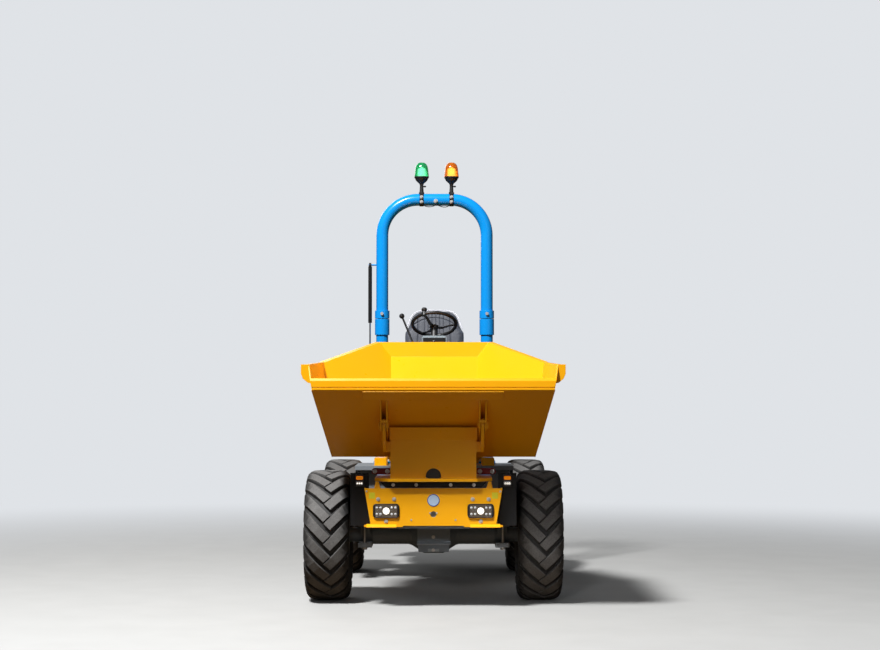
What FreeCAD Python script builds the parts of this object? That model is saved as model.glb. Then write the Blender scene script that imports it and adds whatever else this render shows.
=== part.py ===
import FreeCAD, Part
import math
import os

# Swivel-skip site dumper, hinged in the middle. Millimetres, +Z up, the skip towards -Y.
# The origin is on the ground, at the middle of the machine's length and width.

V = FreeCAD.Vector
X_AXIS = V(1, 0, 0)
Y_AXIS = V(0, 1, 0)
Z_AXIS = V(0, 0, 1)
SIDES = (("left", 1), ("right", -1))

# Driving dimensions
wheelbase = 1900
overhang = 950
wheel_track = 1375
tyre_od = 845
tyre_width = 290
rim_dia = 388
plate = 10
gap = 0.3
pin_fit = 0.05

# Axles and wheels
half_length = wheelbase / 2 + overhang
front_axle_y = -wheelbase / 2
rear_axle_y = wheelbase / 2
tyre_r = tyre_od / 2
wheel_z = tyre_r
rim_r = rim_dia / 2
wheel_x = wheel_track / 2
rim_width = 250
rim_wall = 8
flange_lip = 18
disc_offset = 30
disc_thick = 14
hub_r = 72
hub_proud = 46
stud_circle_r = 102
stud_r = 11
stud_count = 6
shoulder_drop = 6
bar_count = 20
bar_share = 0.65
bar_height = 28
bar_slope = 45
bar_end_drop = 88
casing_r = 62
casing_half = 400
arm_r = 48
diff_r = 120
diff_half = 105
spring_pad_x = 448
spring_pad_w = 90
clamp_plate_h = 14
clamp_bolt_r = 8
clamp_bolt_y = 78

# Pivot between the halves
steer_pin_r = 28
pivot_half_w = 75
pivot_low_z = wheel_z - 52.5
pivot_high_z = wheel_z + 187.5
pivot_front_y = -95
pivot_rear_y = 62
roll_axis_z = wheel_z + 67.5
roll_shaft_r = 52
roll_shaft_len = 215
bearing_wall = 22
ear_thick = 28
ear_gap = 5

# Skip's reach, the slewing centre under it and the roll hoop's place
lip_y = -half_length
back_y = -250
skip_len = back_y - lip_y
slew_y = lip_y + skip_len * 5 / 11
hoop_y = rear_axle_y - 400

# Front chassis
chassis_half_w = 300
chassis_low_z = wheel_z + casing_r + 20.5
chassis_top_z = chassis_low_z + 255
chassis_front_y = slew_y - 395
chassis_rear_y = pivot_front_y - 155
rail_w = 90
slew_ring_r = 330
slew_ring_wall = 70
slew_ring_h = 40

# Front panel and lamps
panel_y = chassis_front_y - 15
panel_thick = 8
panel_top_z = chassis_top_z - 2
panel_low_z = chassis_low_z + 19
panel_top_half = 431
panel_low_half = 391
panel_return = 60
lamp_x = 295
lamp_z = panel_low_z + 93
lamp_w = 165
lamp_h = 88
lamp_round = 20
lamp_proud = 12
lamp_bezel = 7
lamp_sunk = 9
eye_hole_r = 19
eye_hole_z = panel_low_z + 71
guard_thick = 22
guard_top_half = 332
guard_low_half = 300
side_lamp_x = 463
side_lamp_z = chassis_top_z + 43
side_lamp_w = 54
side_lamp_h = 78
side_lamp_d = 34
flap_in_x = 405
flap_out_x = 521
flap_y = chassis_front_y + 45
flap_top_z = chassis_top_z + 90
flap_low_z = chassis_low_z + 15
flap_rear_y = front_axle_y + 390
bracket_half_w = 105
bracket_low_z = wheel_z - 89.5
bracket_y = front_axle_y - 280

# Slewing tower
base_thick = 19
base_half_w = 368
base_front_y = slew_y - 455
base_rear_y = slew_y + 350
base_chamfer = 95
tower_half_w = 268
tower_face_y = slew_y - 425
tower_flare_z = chassis_top_z + 300
tower_top_z = tower_flare_z + 78
tower_flare = 48
tip_pin_y = slew_y - 550
tip_pin_z = tower_top_z + 18
tip_pin_r = 20
ear_in_x = 294
ear_out_x = 314
ear_eye_r = 40
port_w = 95
port_h = 63

# Skip: corner points of the right-hand side, mirrored to the left
skip_wall = 8
lip_half = 738
lip_low_z = tip_pin_z + 215
lip_top_z = lip_low_z + 55
fold_half = 743
fold_y = lip_y + skip_len * 0.663
fold_z = lip_low_z + 185
back_half = 385
back_z = lip_low_z + 335
back_band = 106
back_lean = 15
floor_half = 647
floor_front_y = lip_y + skip_len * 0.3564
floor_rear_y = lip_y + skip_len * 0.606
floor_z = chassis_top_z + 185
corner_y = lip_y + 50
corner_z = lip_low_z + 156
rim_h = 34
rim_out = 16
rib_thick = 10
rib_in_x = 280
rib_out_x = 328
rib_front_y = lip_y + 88
rib_rear_y = floor_front_y - 108
lip_box_d = 46
cross_plate_half = 430
cross_plate_drop = 48
cross_plate_proud = 8

# Tipping cylinder
tip_barrel_y = slew_y - 370
tip_barrel_z = chassis_top_z + 112
tip_eye_y = slew_y + 150
tip_eye_z = tip_barrel_z + 23
tip_barrel_r = 38
tip_rod_r = 20
tip_bolt_r = 14
tip_lug_gap = 2
tip_barrel_len = 455

# Steering cylinder
steer_barrel_x = 205
steer_barrel_y = 480
steer_eye_x = 150
steer_eye_y = -30
steer_barrel_r = 30
steer_rod_r = 15
steer_bolt_r = 11
steer_barrel_len = 285

# Rear chassis, platform and tanks
rear_half_w = 290
rear_low_z = chassis_low_z
rear_top_z = rear_low_z + 195
rear_front_y = 105
rear_end_y = half_length - 110
rear_rail_w = 70
floor_plate_z = rear_low_z + 325
floor_plate_thick = 30
floor_plate_half = 566
floor_plate_front_y = 65
floor_plate_rear_y = hoop_y + 75
tongue_half = 112
tongue_front_y = -62
side_box_in_x = 343
side_box_w = 87
side_box_h = 56
step_in_x = 552
step_out_x = 640
step_front_y = floor_plate_front_y + 65
step_rear_y = rear_axle_y - tyre_r - 97.5
step_levels = (floor_plate_z - 430, floor_plate_z - 215)
tread_slot_pitch = 24
tank_out_x = 545
tank_low_z = rear_low_z + 55
tank_round = 45
engine_size = (380, 560, 560)
engine_low_z = wheel_z + diff_r + 17.5

# Bonnet and rear end
bonnet_half = 420
bonnet_front_y = hoop_y + 90
bonnet_rear_y = rear_end_y - 30
engine_y = (bonnet_front_y + bonnet_rear_y) / 2
bonnet_low_z = rear_top_z + 50
bonnet_top_z = bonnet_low_z + 500
bonnet_wall = 8
bonnet_round = 90
bonnet_slope = 150
bonnet_slope_len = 500
grille_half = 290
grille_low_z = bonnet_low_z + 100
grille_high_z = bonnet_low_z + 300
grille_bars = 9
weight_front_y = rear_end_y + gap
weight_half = 470
weight_low_z = rear_low_z - 75
weight_high_z = weight_low_z + 315
weight_round = 60
hitch_z = weight_low_z + 115
hitch_pin_r = 16
hitch_gap = 60
hitch_pocket_half = 85
hitch_access_r = 24
silencer_r = 60
silencer_len = 340
silencer_z = rear_top_z - 60
tail_pipe_r = 22
hinge_x = 300
hinge_y = bonnet_rear_y + 15
hinge_z = bonnet_low_z + 25
hinge_r = 13
hinge_pin_r = 7
hinge_w = 44

# Operator's place
seat_base_half = 215
seat_base_rear_y = hoop_y - 80
seat_base_front_y = seat_base_rear_y - 320
seat_base_top_z = floor_plate_z + 470
cushion_half = 232
cushion_rear_y = seat_base_rear_y + 10
cushion_front_y = cushion_rear_y - 410
cushion_thick = 115
cushion_round = 40
back_seat_half = 230
back_seat_thick = 95
back_top_half = 182
back_corner = 62
back_seat_low_z = seat_base_top_z + 140
back_seat_top_z = back_seat_low_z + 530
back_seat_lean = 62
console_half = 82
console_front_y = -50
console_rear_y = 55
console_top_z = floor_plate_z + 912
column_r = 26
wheel_centre_y = 48
wheel_centre_z = console_top_z + 100
wheel_rim_r = 168
wheel_grip_r = 13
wheel_tilt = 30
wheel_hub_r = 38
knob_r = 21
lever_reach = 150
lever_knob_r = 19

# Roll hoop
hoop_tube_r = 44.5
hoop_half = 388
hoop_fold_z = floor_plate_z + 1070
hoop_top_z = hoop_fold_z + 886
hoop_bend = 265
sleeve_r = 54
sleeve_h = 120
foot_half = 60
strut_x = -hoop_half - 90
strut_top = 400
strut_low = 420
strut_body_r = 14
strut_rod_r = 6
strut_body_len = 430
beacon_x = (-96, 126)
beacon_z = hoop_top_z + 171
beacon_r = 54
beacon_h = 108


def box(x0, x1, y0, y1, z0, z1):
    return Part.makeBox(x1 - x0, y1 - y0, z1 - z0, V(x0, y0, z0))


def mid_box(half_w, y0, y1, z0, z1):
    return box(-half_w, half_w, y0, y1, z0, z1)


def rod(start, end, radius):
    line = end - start
    return Part.makeCylinder(radius, line.Length, start, line)


def disc_x(x0, x1, y, z, radius):
    return rod(V(min(x0, x1), y, z), V(max(x0, x1), y, z), radius)


def disc_z(x, y, z0, z1, radius):
    return rod(V(x, y, z0), V(x, y, z1), radius)


def face_of(points):
    return Part.Face(Part.makePolygon(points + [points[0]]))


def side_prism(profile, x0, x1):
    """A (y, z) outline pushed along X."""
    return face_of([V(x0, y, z) for y, z in profile]).extrude(V(x1 - x0, 0, 0))


def front_prism(profile, y0, y1):
    """An (x, z) outline pushed along Y."""
    return face_of([V(x, y0, z) for x, z in profile]).extrude(V(0, y1 - y0, 0))


def plan_prism(profile, z0, z1):
    """An (x, y) outline pushed along Z."""
    return face_of([V(x, y, z0) for x, y in profile]).extrude(V(0, 0, z1 - z0))


def fuse(*shapes):
    whole = shapes[0].multiFuse(list(shapes[1:])) if len(shapes) > 1 else shapes[0]
    return whole.removeSplitter()


def mirror(shape):
    return shape.mirror(V(0, 0, 0), X_AXIS)


def both(shape):
    return Part.makeCompound([shape, mirror(shape)])


def round_edges(shape, radius, keep):
    """Fillet the edges for which keep(edge) is true."""
    return shape.makeFillet(radius, [edge for edge in shape.Edges if keep(edge)])


def runs_along(edge, axis):
    if not isinstance(edge.Curve, Part.Line):
        return False
    return abs(edge.Curve.Direction.dot(axis)) > 0.999


def save(name, shape):
    solids = [solid for solid in shape.Solids if solid.Volume > 1]
    kept = solids[0] if len(solids) == 1 else Part.makeCompound(solids)
    kept.exportStep("parts/" + name + ".step")
    bounds = kept.BoundBox
    print(name, len(solids), kept.isValid(), [round(v) for v in (
        bounds.XMin, bounds.XMax, bounds.YMin, bounds.YMax, bounds.ZMin, bounds.ZMax)])


os.makedirs("parts", exist_ok=True)


def wheel_profile(points, x0):
    """A closed (x offset, radius) outline turned about the wheel's own axis."""
    outline = face_of([V(x0 + x, 0, r) for x, r in points])
    return outline.revolve(V(0, 0, 0), X_AXIS, 360)


# Tyre: casing with raised bars that meet in a V, each side's set half a pitch on from the other's.
# It is built from flat facets between rows of points, and its beads seat between the rim's flanges.
bead_half = rim_width / 2 - rim_wall - gap
tyre_half = tyre_width / 2
tread_half = tyre_half - 10
bar_pitch_turn = 360 / bar_count
bar_turn = bar_pitch_turn * bar_share
bar_overlap = bar_turn - bar_pitch_turn / 2
bead_r = (rim_r + gap) / math.cos(math.radians(bar_turn / 2))
tread_stations = ((0, tyre_r), (tread_half * 0.55, tyre_r - 1), (tread_half, tyre_r - shoulder_drop))
side_stations = ((tyre_half, tyre_r - bar_end_drop), (bead_half, rim_r + flange_lip + 6), (bead_half, bead_r))


class Facets:
    """Points and triangles of a closed form turned about X, the points shared by their place."""

    def __init__(self):
        self.points = []
        self.triangles = []
        self.numbers = {}

    def point(self, x, turn, radius):
        angle = math.radians(turn)
        place = (round(x, 4), round(radius * math.cos(angle), 4), round(radius * math.sin(angle), 4))
        if place not in self.numbers:
            self.numbers[place] = len(self.points)
            self.points.append(V(*place))
        return self.numbers[place]

    def join_rows(self, first, second, flip):
        """Triangles between two rows of (how far along, point) pairs."""
        i = 0
        j = 0
        while i + 1 < len(first) or j + 1 < len(second):
            along_first = j + 1 == len(second)
            if i + 1 < len(first) and not along_first:
                along_first = first[i][0] + first[i + 1][0] <= second[j][0] + second[j + 1][0]
            if along_first:
                corners = (first[i][1], first[i + 1][1], second[j][1])
                i += 1
            else:
                corners = (first[i][1], second[j + 1][1], second[j][1])
                j += 1
            if len(set(corners)) == 3:
                self.triangles.append(corners[::-1] if flip else corners)

    def solid(self):
        surface = Part.Shape()
        surface.makeShapeFromMesh((self.points, self.triangles), 0.001)
        return Part.Solid(Part.Shell(surface.Faces))


def bar_lean(across):
    """How far a bar has turned back at a distance from the tyre's middle."""
    return -math.degrees(min(across, tread_half) * math.tan(math.radians(bar_slope)) / tyre_r)


def faceted_tyre():
    form = Facets()
    bead_rows = {}
    for side in (1, -1):
        flip = side < 0
        first_turn = 0 if side > 0 else bar_pitch_turn / 2

        def row(station, turns, drop):
            across, radius = station
            return [(turn, form.point(side * across, turn + bar_lean(across), radius - drop)) for turn in turns]

        def edge_line(turn, drop):
            line = [(across, form.point(side * across, turn + bar_lean(across), radius - drop))
                    for across, radius in tread_stations]
            return line + [(tyre_half, row(side_stations[0], [turn], 0)[0][1])]

        bead_rows[side] = []
        for number in range(bar_count):
            start = first_turn + number * bar_pitch_turn
            end = start + bar_turn
            following = start + bar_pitch_turn
            middle = [start, start + bar_overlap, start + bar_pitch_turn / 2, end]
            crest = [row(tread_stations[0], middle, 0)]
            crest += [row(station, [start, end], 0) for station in tread_stations[1:] + side_stations[:1]]
            hollow = [row(station, [end, following], bar_height) for station in tread_stations]
            hollow += [row(side_stations[0], [end, following], 0)]
            wall = [row(station, [start, end, following], 0) for station in side_stations]
            for rows in (crest, hollow, wall):
                for inner, outer in zip(rows, rows[1:]):
                    form.join_rows(inner, outer, flip)
            form.join_rows(edge_line(end, bar_height), edge_line(end, 0), flip)
            form.join_rows(edge_line(start, 0), edge_line(start, bar_height), flip)
            form.join_rows(row(tread_stations[0], [end, following], 0), hollow[0], flip)
            bead_rows[side] += wall[-1] if number == 0 else wall[-1][1:]
    form.join_rows(bead_rows[1], bead_rows[-1], False)
    return form.solid()


tyre = faceted_tyre()

# Rim: rolled barrel with flanges, a wheel disc towards the outside and a hub with its studs
half_rim = rim_width / 2
spindle_r = 30
spindle_len = 60
hub_back = disc_offset - 24
rim_outline = [
    (-half_rim, rim_r + flange_lip),
    (-half_rim + rim_wall, rim_r + flange_lip),
    (-half_rim + rim_wall, rim_r),
    (half_rim - rim_wall, rim_r),
    (half_rim - rim_wall, rim_r + flange_lip),
    (half_rim, rim_r + flange_lip),
    (half_rim, rim_r - rim_wall),
    (disc_offset + disc_thick, rim_r - rim_wall - 24),
    (disc_offset + disc_thick, hub_r),
    (disc_offset + hub_proud, hub_r - 8),
    (disc_offset + hub_proud, 0),
    (hub_back + spindle_len, 0),
    (hub_back + spindle_len, spindle_r + pin_fit),
    (hub_back, spindle_r + pin_fit),
    (hub_back, hub_r + 40),
    (disc_offset, hub_r + 56),
    (disc_offset, rim_r - rim_wall - 34),
    (-half_rim, rim_r - rim_wall)]
rim_body = wheel_profile(rim_outline, 0)
studs = [
    disc_x(disc_offset, disc_offset + disc_thick + 16,
           stud_circle_r * math.cos(2 * math.pi * turn / stud_count),
           stud_circle_r * math.sin(2 * math.pi * turn / stud_count), stud_r)
    for turn in range(stud_count)]
rim = fuse(rim_body, *studs)

for end, axle_y in (("front", front_axle_y), ("rear", rear_axle_y)):
    for side, sign in SIDES:
        for piece, shape in (("tyre", tyre), ("rim", rim)):
            placed = shape if sign > 0 or piece == "tyre" else mirror(shape)
            placed = placed.translated(V(sign * wheel_x, axle_y, wheel_z))
            save(piece + "_" + end + "_" + side, placed)


def axle(axle_y, pad_top_z):
    """Drive axle: differential bowl, stepped casing, spindles, and spring pads with clamp bolts."""
    hub_face = wheel_x + hub_back - gap
    half = [
        (0, 0), (0, diff_r), (diff_half * 0.6, diff_r), (diff_half + 40, casing_r + 6),
        (diff_half + 60, casing_r), (casing_half, casing_r), (casing_half, arm_r),
        (hub_face - 40, arm_r), (hub_face - 40, arm_r + 34), (hub_face, arm_r + 34),
        (hub_face, spindle_r), (hub_face + spindle_len - 2, spindle_r), (hub_face + spindle_len - 2, 0)]
    outline = [(-x, r) for x, r in half[::-1]][:-2] + half[1:]
    casing = wheel_profile(outline, 0).translated(V(0, axle_y, wheel_z))
    parts = [casing]
    bolt_low = wheel_z - casing_r - clamp_plate_h - 16
    for sign in (1, -1):
        x = sign * spring_pad_x
        x0 = x - spring_pad_w / 2
        x1 = x + spring_pad_w / 2
        parts.append(box(x0, x1, axle_y - 95, axle_y + 95, pad_top_z - 24 - gap, pad_top_z - gap))
        parts.append(box(x0 + 14, x1 - 14, axle_y - 55, axle_y + 55, wheel_z, pad_top_z - 22))
        low = wheel_z - casing_r
        parts.append(box(x0, x1, axle_y - 95, axle_y + 95, low - clamp_plate_h, low + 10))
        for along in (-clamp_bolt_y, clamp_bolt_y):
            parts.append(disc_z(x, axle_y + along, bolt_low, pad_top_z - gap, clamp_bolt_r))
    return fuse(*parts)


front_axle = axle(front_axle_y, chassis_low_z)
rear_axle = axle(rear_axle_y, rear_low_z)
save("front_axle", front_axle)
save("rear_axle", rear_axle)

# Pivot block: upright steering pin bore, a roll shaft forward and the steering arm
arm_z = wheel_z - 7.5
arm_thick = 26
steer_z = arm_z + arm_thick / 2 + 25
pivot_block = fuse(
    mid_box(pivot_half_w, pivot_front_y, pivot_rear_y - pivot_half_w, pivot_low_z, pivot_high_z),
    disc_z(0, 0, pivot_low_z, pivot_high_z, pivot_half_w),
    rod(V(0, pivot_front_y + 20, roll_axis_z), V(0, pivot_front_y - roll_shaft_len, roll_axis_z), roll_shaft_r),
    box(0, steer_eye_x, steer_eye_y - 34, steer_eye_y + 34, arm_z - arm_thick / 2, arm_z + arm_thick / 2),
    disc_z(steer_eye_x, steer_eye_y, arm_z - arm_thick / 2, arm_z + arm_thick / 2, 34))
pivot_block = pivot_block.cut(disc_z(0, 0, pivot_low_z - 10, pivot_high_z + 10, steer_pin_r + pin_fit))
save("pivot_block", pivot_block)

# Front chassis: two rails, cross boxes, turntable deck, spring wings, rear bearing for the roll shaft
rail_in = chassis_half_w - rail_w
bearing_r = roll_shaft_r + bearing_wall
bearing_front_y = pivot_front_y - roll_shaft_len + 20
bearing_rear_y = pivot_front_y - ear_gap
deck_rear_y = slew_y + slew_ring_r + 60


def spring_wing(half_w, rail_in, axle_y, low_z):
    """Plates that stand out from both rails over an axle's spring pads."""
    wing = mid_box(half_w, axle_y - 110, axle_y + 110, low_z, low_z + 20)
    return wing.cut(mid_box(rail_in, axle_y - 130, axle_y + 130, low_z - 5, low_z + 30))


front_chassis = fuse(
    both(box(rail_in, chassis_half_w, chassis_front_y, chassis_rear_y, chassis_low_z, chassis_top_z)),
    mid_box(chassis_half_w, chassis_front_y, chassis_front_y + 70, chassis_low_z, chassis_top_z),
    mid_box(chassis_half_w, deck_rear_y - 40, deck_rear_y, chassis_low_z + 60, chassis_top_z),
    mid_box(chassis_half_w, chassis_front_y, deck_rear_y, chassis_top_z - 20, chassis_top_z),
    mid_box(chassis_half_w, bearing_front_y, chassis_rear_y, chassis_low_z, chassis_low_z + 90),
    mid_box(chassis_half_w, chassis_rear_y - 30, chassis_rear_y, roll_axis_z, chassis_top_z - 40),
    spring_wing(chassis_half_w + 195, rail_in, front_axle_y, chassis_low_z),
    rod(V(0, bearing_front_y, roll_axis_z), V(0, bearing_rear_y, roll_axis_z), bearing_r))
shaft_bore = rod(
    V(0, bearing_front_y - 60, roll_axis_z), V(0, bearing_rear_y + 10, roll_axis_z), roll_shaft_r + pin_fit)
front_chassis = front_chassis.cut(shaft_bore)
bracket_top_z = chassis_low_z + 10
nose_bracket = front_prism(
    [(-bracket_half_w, bracket_low_z + 70), (-bracket_half_w + 8, bracket_low_z),
     (bracket_half_w - 8, bracket_low_z), (bracket_half_w, bracket_low_z + 70),
     (bracket_half_w, bracket_top_z), (-bracket_half_w, bracket_top_z)],
    bracket_y, bracket_y + 60)
cross_pipe = mid_box(chassis_half_w, bracket_y, bracket_y + 60, chassis_low_z, chassis_low_z + 60)
front_chassis = fuse(front_chassis, nose_bracket, cross_pipe)
save("front_chassis", front_chassis)

# Slewing ring between the deck and the tower's base plate
base_low_z = chassis_top_z + slew_ring_h + 2 * gap
slew_ring = disc_z(0, slew_y, chassis_top_z + gap, base_low_z - gap, slew_ring_r)
slew_ring = slew_ring.cut(disc_z(0, slew_y, chassis_top_z, base_low_z, slew_ring_r - slew_ring_wall))
save("slew_ring", slew_ring)

# Front panel: sheet with slanting sides, returned at the edges, with lamp holes and a centre hole
panel_profile = [
    (-panel_top_half, panel_top_z), (-panel_low_half, panel_low_z),
    (panel_low_half, panel_low_z), (panel_top_half, panel_top_z)]
front_panel = front_prism(panel_profile, panel_y, panel_y + panel_thick)
side_return = front_prism(
    [(panel_low_half - panel_thick, panel_low_z), (panel_low_half, panel_low_z),
     (panel_top_half, panel_top_z), (panel_top_half - panel_thick, panel_top_z)],
    panel_y, panel_y + panel_return)
low_return = fuse(
    box(panel_low_half - 200, panel_low_half + 42, panel_y, chassis_front_y - gap,
        panel_low_z - panel_thick, panel_low_z + 2),
    box(chassis_half_w + gap, panel_low_half + 42, panel_y, panel_y + panel_return,
        panel_low_z - panel_thick, panel_low_z + 2))
front_panel = fuse(front_panel, both(side_return), both(low_return))
lamp_hole = round_edges(
    box(lamp_x - lamp_w / 2, lamp_x + lamp_w / 2, panel_y - 20, panel_y + 40,
        lamp_z - lamp_h / 2, lamp_z + lamp_h / 2),
    lamp_round, lambda edge: runs_along(edge, Y_AXIS))
front_panel = front_panel.cut(lamp_hole).cut(mirror(lamp_hole))
front_panel = front_panel.cut(rod(V(0, panel_y - 10, eye_hole_z), V(0, panel_y + 20, eye_hole_z), eye_hole_r))
panel_stay = box(150, 190, panel_y + panel_thick - 1, chassis_front_y - gap, lamp_z - 30, lamp_z + 90)
front_panel = fuse(front_panel, both(panel_stay))
save("front_panel", front_panel)

# Headlamps: rounded units seated in the panel's holes
def lamp_block(inset, front_y, rear_y):
    block = box(lamp_x - lamp_w / 2 + inset, lamp_x + lamp_w / 2 - inset, front_y, rear_y,
                lamp_z - lamp_h / 2 + inset, lamp_z + lamp_h / 2 - inset)
    return round_edges(block, lamp_round - inset, lambda edge: runs_along(edge, Y_AXIS))


lamp = lamp_block(gap, panel_y - lamp_proud, panel_y + panel_thick + 4)
lamp_well = lamp_block(lamp_bezel, panel_y - lamp_proud - 1, panel_y - lamp_proud + lamp_sunk)
lamp_bars = [
    box(lamp_x + across - lamp_bezel / 2, lamp_x + across + lamp_bezel / 2, panel_y - lamp_proud + 2, panel_y,
        lamp_z - lamp_h / 2 + lamp_bezel - 1, lamp_z + lamp_h / 2 - lamp_bezel + 1)
    for across in (-lamp_w / 4, lamp_w / 4)]
lamp = fuse(lamp.cut(lamp_well), *lamp_bars)
save("headlamps", both(lamp))

# Black guard between the panel's top edge and the base plate
ring_guard = front_prism(
    [(-guard_low_half, chassis_top_z + gap), (guard_low_half, chassis_top_z + gap),
     (guard_top_half, base_low_z - 6), (-guard_top_half, base_low_z - 6)],
    chassis_front_y, chassis_front_y + guard_thick)

# Black flaps beside the front wheels: a plate facing forward, a side plate and a stay to the chassis
flap = fuse(
    box(flap_in_x, flap_out_x, flap_y, flap_y + panel_thick, flap_low_z, flap_top_z),
    side_prism(
        [(flap_y, flap_low_z + 10), (flap_y, flap_top_z), (flap_y + 90, flap_top_z),
         (flap_y + 130, base_low_z - 12), (flap_rear_y - 200, base_low_z - 12), (flap_rear_y, flap_top_z - 200),
         (flap_rear_y, flap_low_z + 110), (flap_rear_y - 250, flap_low_z + 10)],
        flap_out_x - 4, flap_out_x),
    box(chassis_half_w + gap, flap_out_x - 2, flap_y, flap_y + 40, flap_low_z + 30, flap_low_z + 60),
    box(chassis_half_w + gap, flap_out_x - 2, deck_rear_y - 40, deck_rear_y, flap_low_z + 90, flap_low_z + 120))
save("front_guards", Part.makeCompound([flap, mirror(flap), ring_guard]))

# Side lamps on the flaps: amber lens above a white one in one housing
side_lamp = box(
    side_lamp_x - side_lamp_w / 2, side_lamp_x + side_lamp_w / 2, flap_y - side_lamp_d, flap_y - gap,
    side_lamp_z - side_lamp_h / 2, side_lamp_z + side_lamp_h / 2)
side_lamp = round_edges(side_lamp, 8, lambda edge: runs_along(edge, Y_AXIS))
save("side_lamps", both(side_lamp))

# Slewing tower: base plate, two cheeks, front plate with its flare, pin ears and rest pads
base_top_z = base_low_z + base_thick
front_slope = (lip_low_z - floor_z) / (floor_front_y - lip_y)
cheek_in = tower_half_w - 12
cheek_profile = [
    (tower_face_y, base_top_z - 1), (tower_face_y, tower_flare_z), (tower_face_y - tower_flare, tower_top_z),
    (floor_front_y - 18, floor_z - 22), (floor_rear_y - 5, floor_z - 22), (base_rear_y - 60, base_top_z - 1)]
flare_plate = side_prism(
    [(tower_face_y, tower_flare_z - 1), (tower_face_y - tower_flare, tower_top_z),
     (tower_face_y - tower_flare + 12, tower_top_z), (tower_face_y + 12, tower_flare_z - 1)],
    -tower_half_w - 6, tower_half_w + 6)
ear_profile = [
    (tip_pin_y - 38, tip_pin_z - 14), (tip_pin_y + 10, tower_flare_z), (tower_face_y - 25, tower_flare_z - 75),
    (tower_face_y + 55, tower_flare_z - 75), (tower_face_y + 55, tower_flare_z - 10),
    (tower_face_y - 35, tower_top_z - 18), (tip_pin_y + 30, tip_pin_z + 27), (tip_pin_y, tip_pin_z + 38)]
ear = fuse(
    side_prism(ear_profile, ear_in_x, ear_out_x),
    disc_x(ear_in_x, ear_out_x, tip_pin_y, tip_pin_z, ear_eye_r),
    box(cheek_in, ear_in_x + 2, tower_face_y + 2, tower_face_y + 55, tower_flare_z - 75, tower_flare_z - 12),
    disc_x(rib_in_x - 6, rib_out_x + 4, tip_pin_y, tip_pin_z, tip_pin_r),
    disc_x(rib_out_x + 2, rib_out_x + 12, tip_pin_y, tip_pin_z, tip_pin_r + 9))
rest_pad = box(
    cheek_in - 50, tower_half_w, floor_rear_y - 110, floor_rear_y - 30, base_top_z - 1, floor_z - gap)
base_plate = plan_prism(
    [(-base_half_w + base_chamfer, base_front_y), (base_half_w - base_chamfer, base_front_y),
     (base_half_w, base_front_y + base_chamfer), (base_half_w, base_rear_y - base_chamfer),
     (base_half_w - base_chamfer, base_rear_y), (-base_half_w + base_chamfer, base_rear_y),
     (-base_half_w, base_rear_y - base_chamfer), (-base_half_w, base_front_y + base_chamfer)],
    base_low_z, base_top_z)
front_plate = mid_box(tower_half_w, tower_face_y, tower_face_y + plate, base_top_z - 1, tower_flare_z)
barrel_half = 24
cheek_gap = 3
neck_len = 60
barrel_bracket = side_prism(
    [(tip_barrel_y - 40, base_top_z - 1), (tip_barrel_y - 24, tip_barrel_z + 24),
     (tip_barrel_y + 24, tip_barrel_z + 24), (tip_barrel_y + 60, base_top_z - 1)],
    barrel_half + cheek_gap, barrel_half + cheek_gap + 14)
pin_half = barrel_half + cheek_gap + 16
barrel_pin = disc_x(-pin_half, pin_half, tip_barrel_y, tip_barrel_z, tip_bolt_r)
pedestal = fuse(
    base_plate, both(side_prism(cheek_profile, cheek_in, tower_half_w)), front_plate, flare_plate,
    both(ear), both(rest_pad), both(barrel_bracket), barrel_pin)
port_round_z = base_top_z + port_h - port_w / 2
port = fuse(
    mid_box(port_w / 2, tower_face_y - 5, tower_face_y + plate + 5, base_top_z, port_round_z),
    rod(V(0, tower_face_y - 5, port_round_z), V(0, tower_face_y + plate + 5, port_round_z), port_w / 2))
pedestal = pedestal.cut(port)
save("pedestal", pedestal)

# Dark red brackets at both flanks of the tower, each an arm with a leg over the plate's edge
arm_y = slew_y - 60
red_bracket = fuse(
    box(tower_half_w + gap, base_half_w + 32, arm_y, arm_y + 50, base_top_z + 8, base_top_z + 48),
    box(base_half_w + gap, base_half_w + 32, arm_y, arm_y + 50, base_low_z, base_top_z + 20),
    box(tower_half_w + gap, tower_half_w + 70, arm_y, arm_y + 50, base_top_z + gap, base_top_z + 30))
save("slew_brackets", both(red_bracket))


# Skip: sheet body held between flat panels, open at the top
def cut_outside(body, points, inside, offset):
    """Keep the side of the plane through three points where inside lies; offset moves it outwards."""
    a, b, c = [V(*point) for point in points]
    normal = (b - a).cross(c - a)
    normal.normalize()
    if normal.dot(inside - a) > 0:
        normal = -normal
    base = a + normal * offset
    reach = 3 * half_length
    return body.cut(Part.makeCylinder(reach, reach, base, normal))


skip_core = V(0, floor_front_y + 150, fold_z - 100)
fold_low_y = back_y - back_lean
fold_low_z = back_z - back_band


def skip_panels(side):
    lip = (side * lip_half, lip_y, lip_low_z)
    fold = (side * fold_half, fold_y, fold_z)
    back = (side * back_half, back_y, back_z)
    floor = (side * floor_half, floor_front_y, floor_z)
    return [(lip, fold, floor), (fold, back, floor)]


def skip_form(offset, open_top):
    """The space inside the skip's outer faces, moved out by offset."""
    low = floor_z - offset
    high = back_z + (400 if open_top else 0)
    body = box(-half_length, half_length, lip_y - offset, 0, low, high)
    for panel in skip_panels(1) + skip_panels(-1):
        body = cut_outside(body, panel, skip_core, offset)
    for near, far in (
            ((lip_y, lip_low_z), (floor_front_y, floor_z)),
            ((floor_rear_y, floor_z), (fold_low_y, fold_low_z)),
            ((fold_low_y, fold_low_z), (back_y, back_z))):
        plane = [(0, near[0], near[1]), (100, near[0], near[1]), (0, far[0], far[1])]
        body = cut_outside(body, plane, skip_core, offset)
    return body


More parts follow.
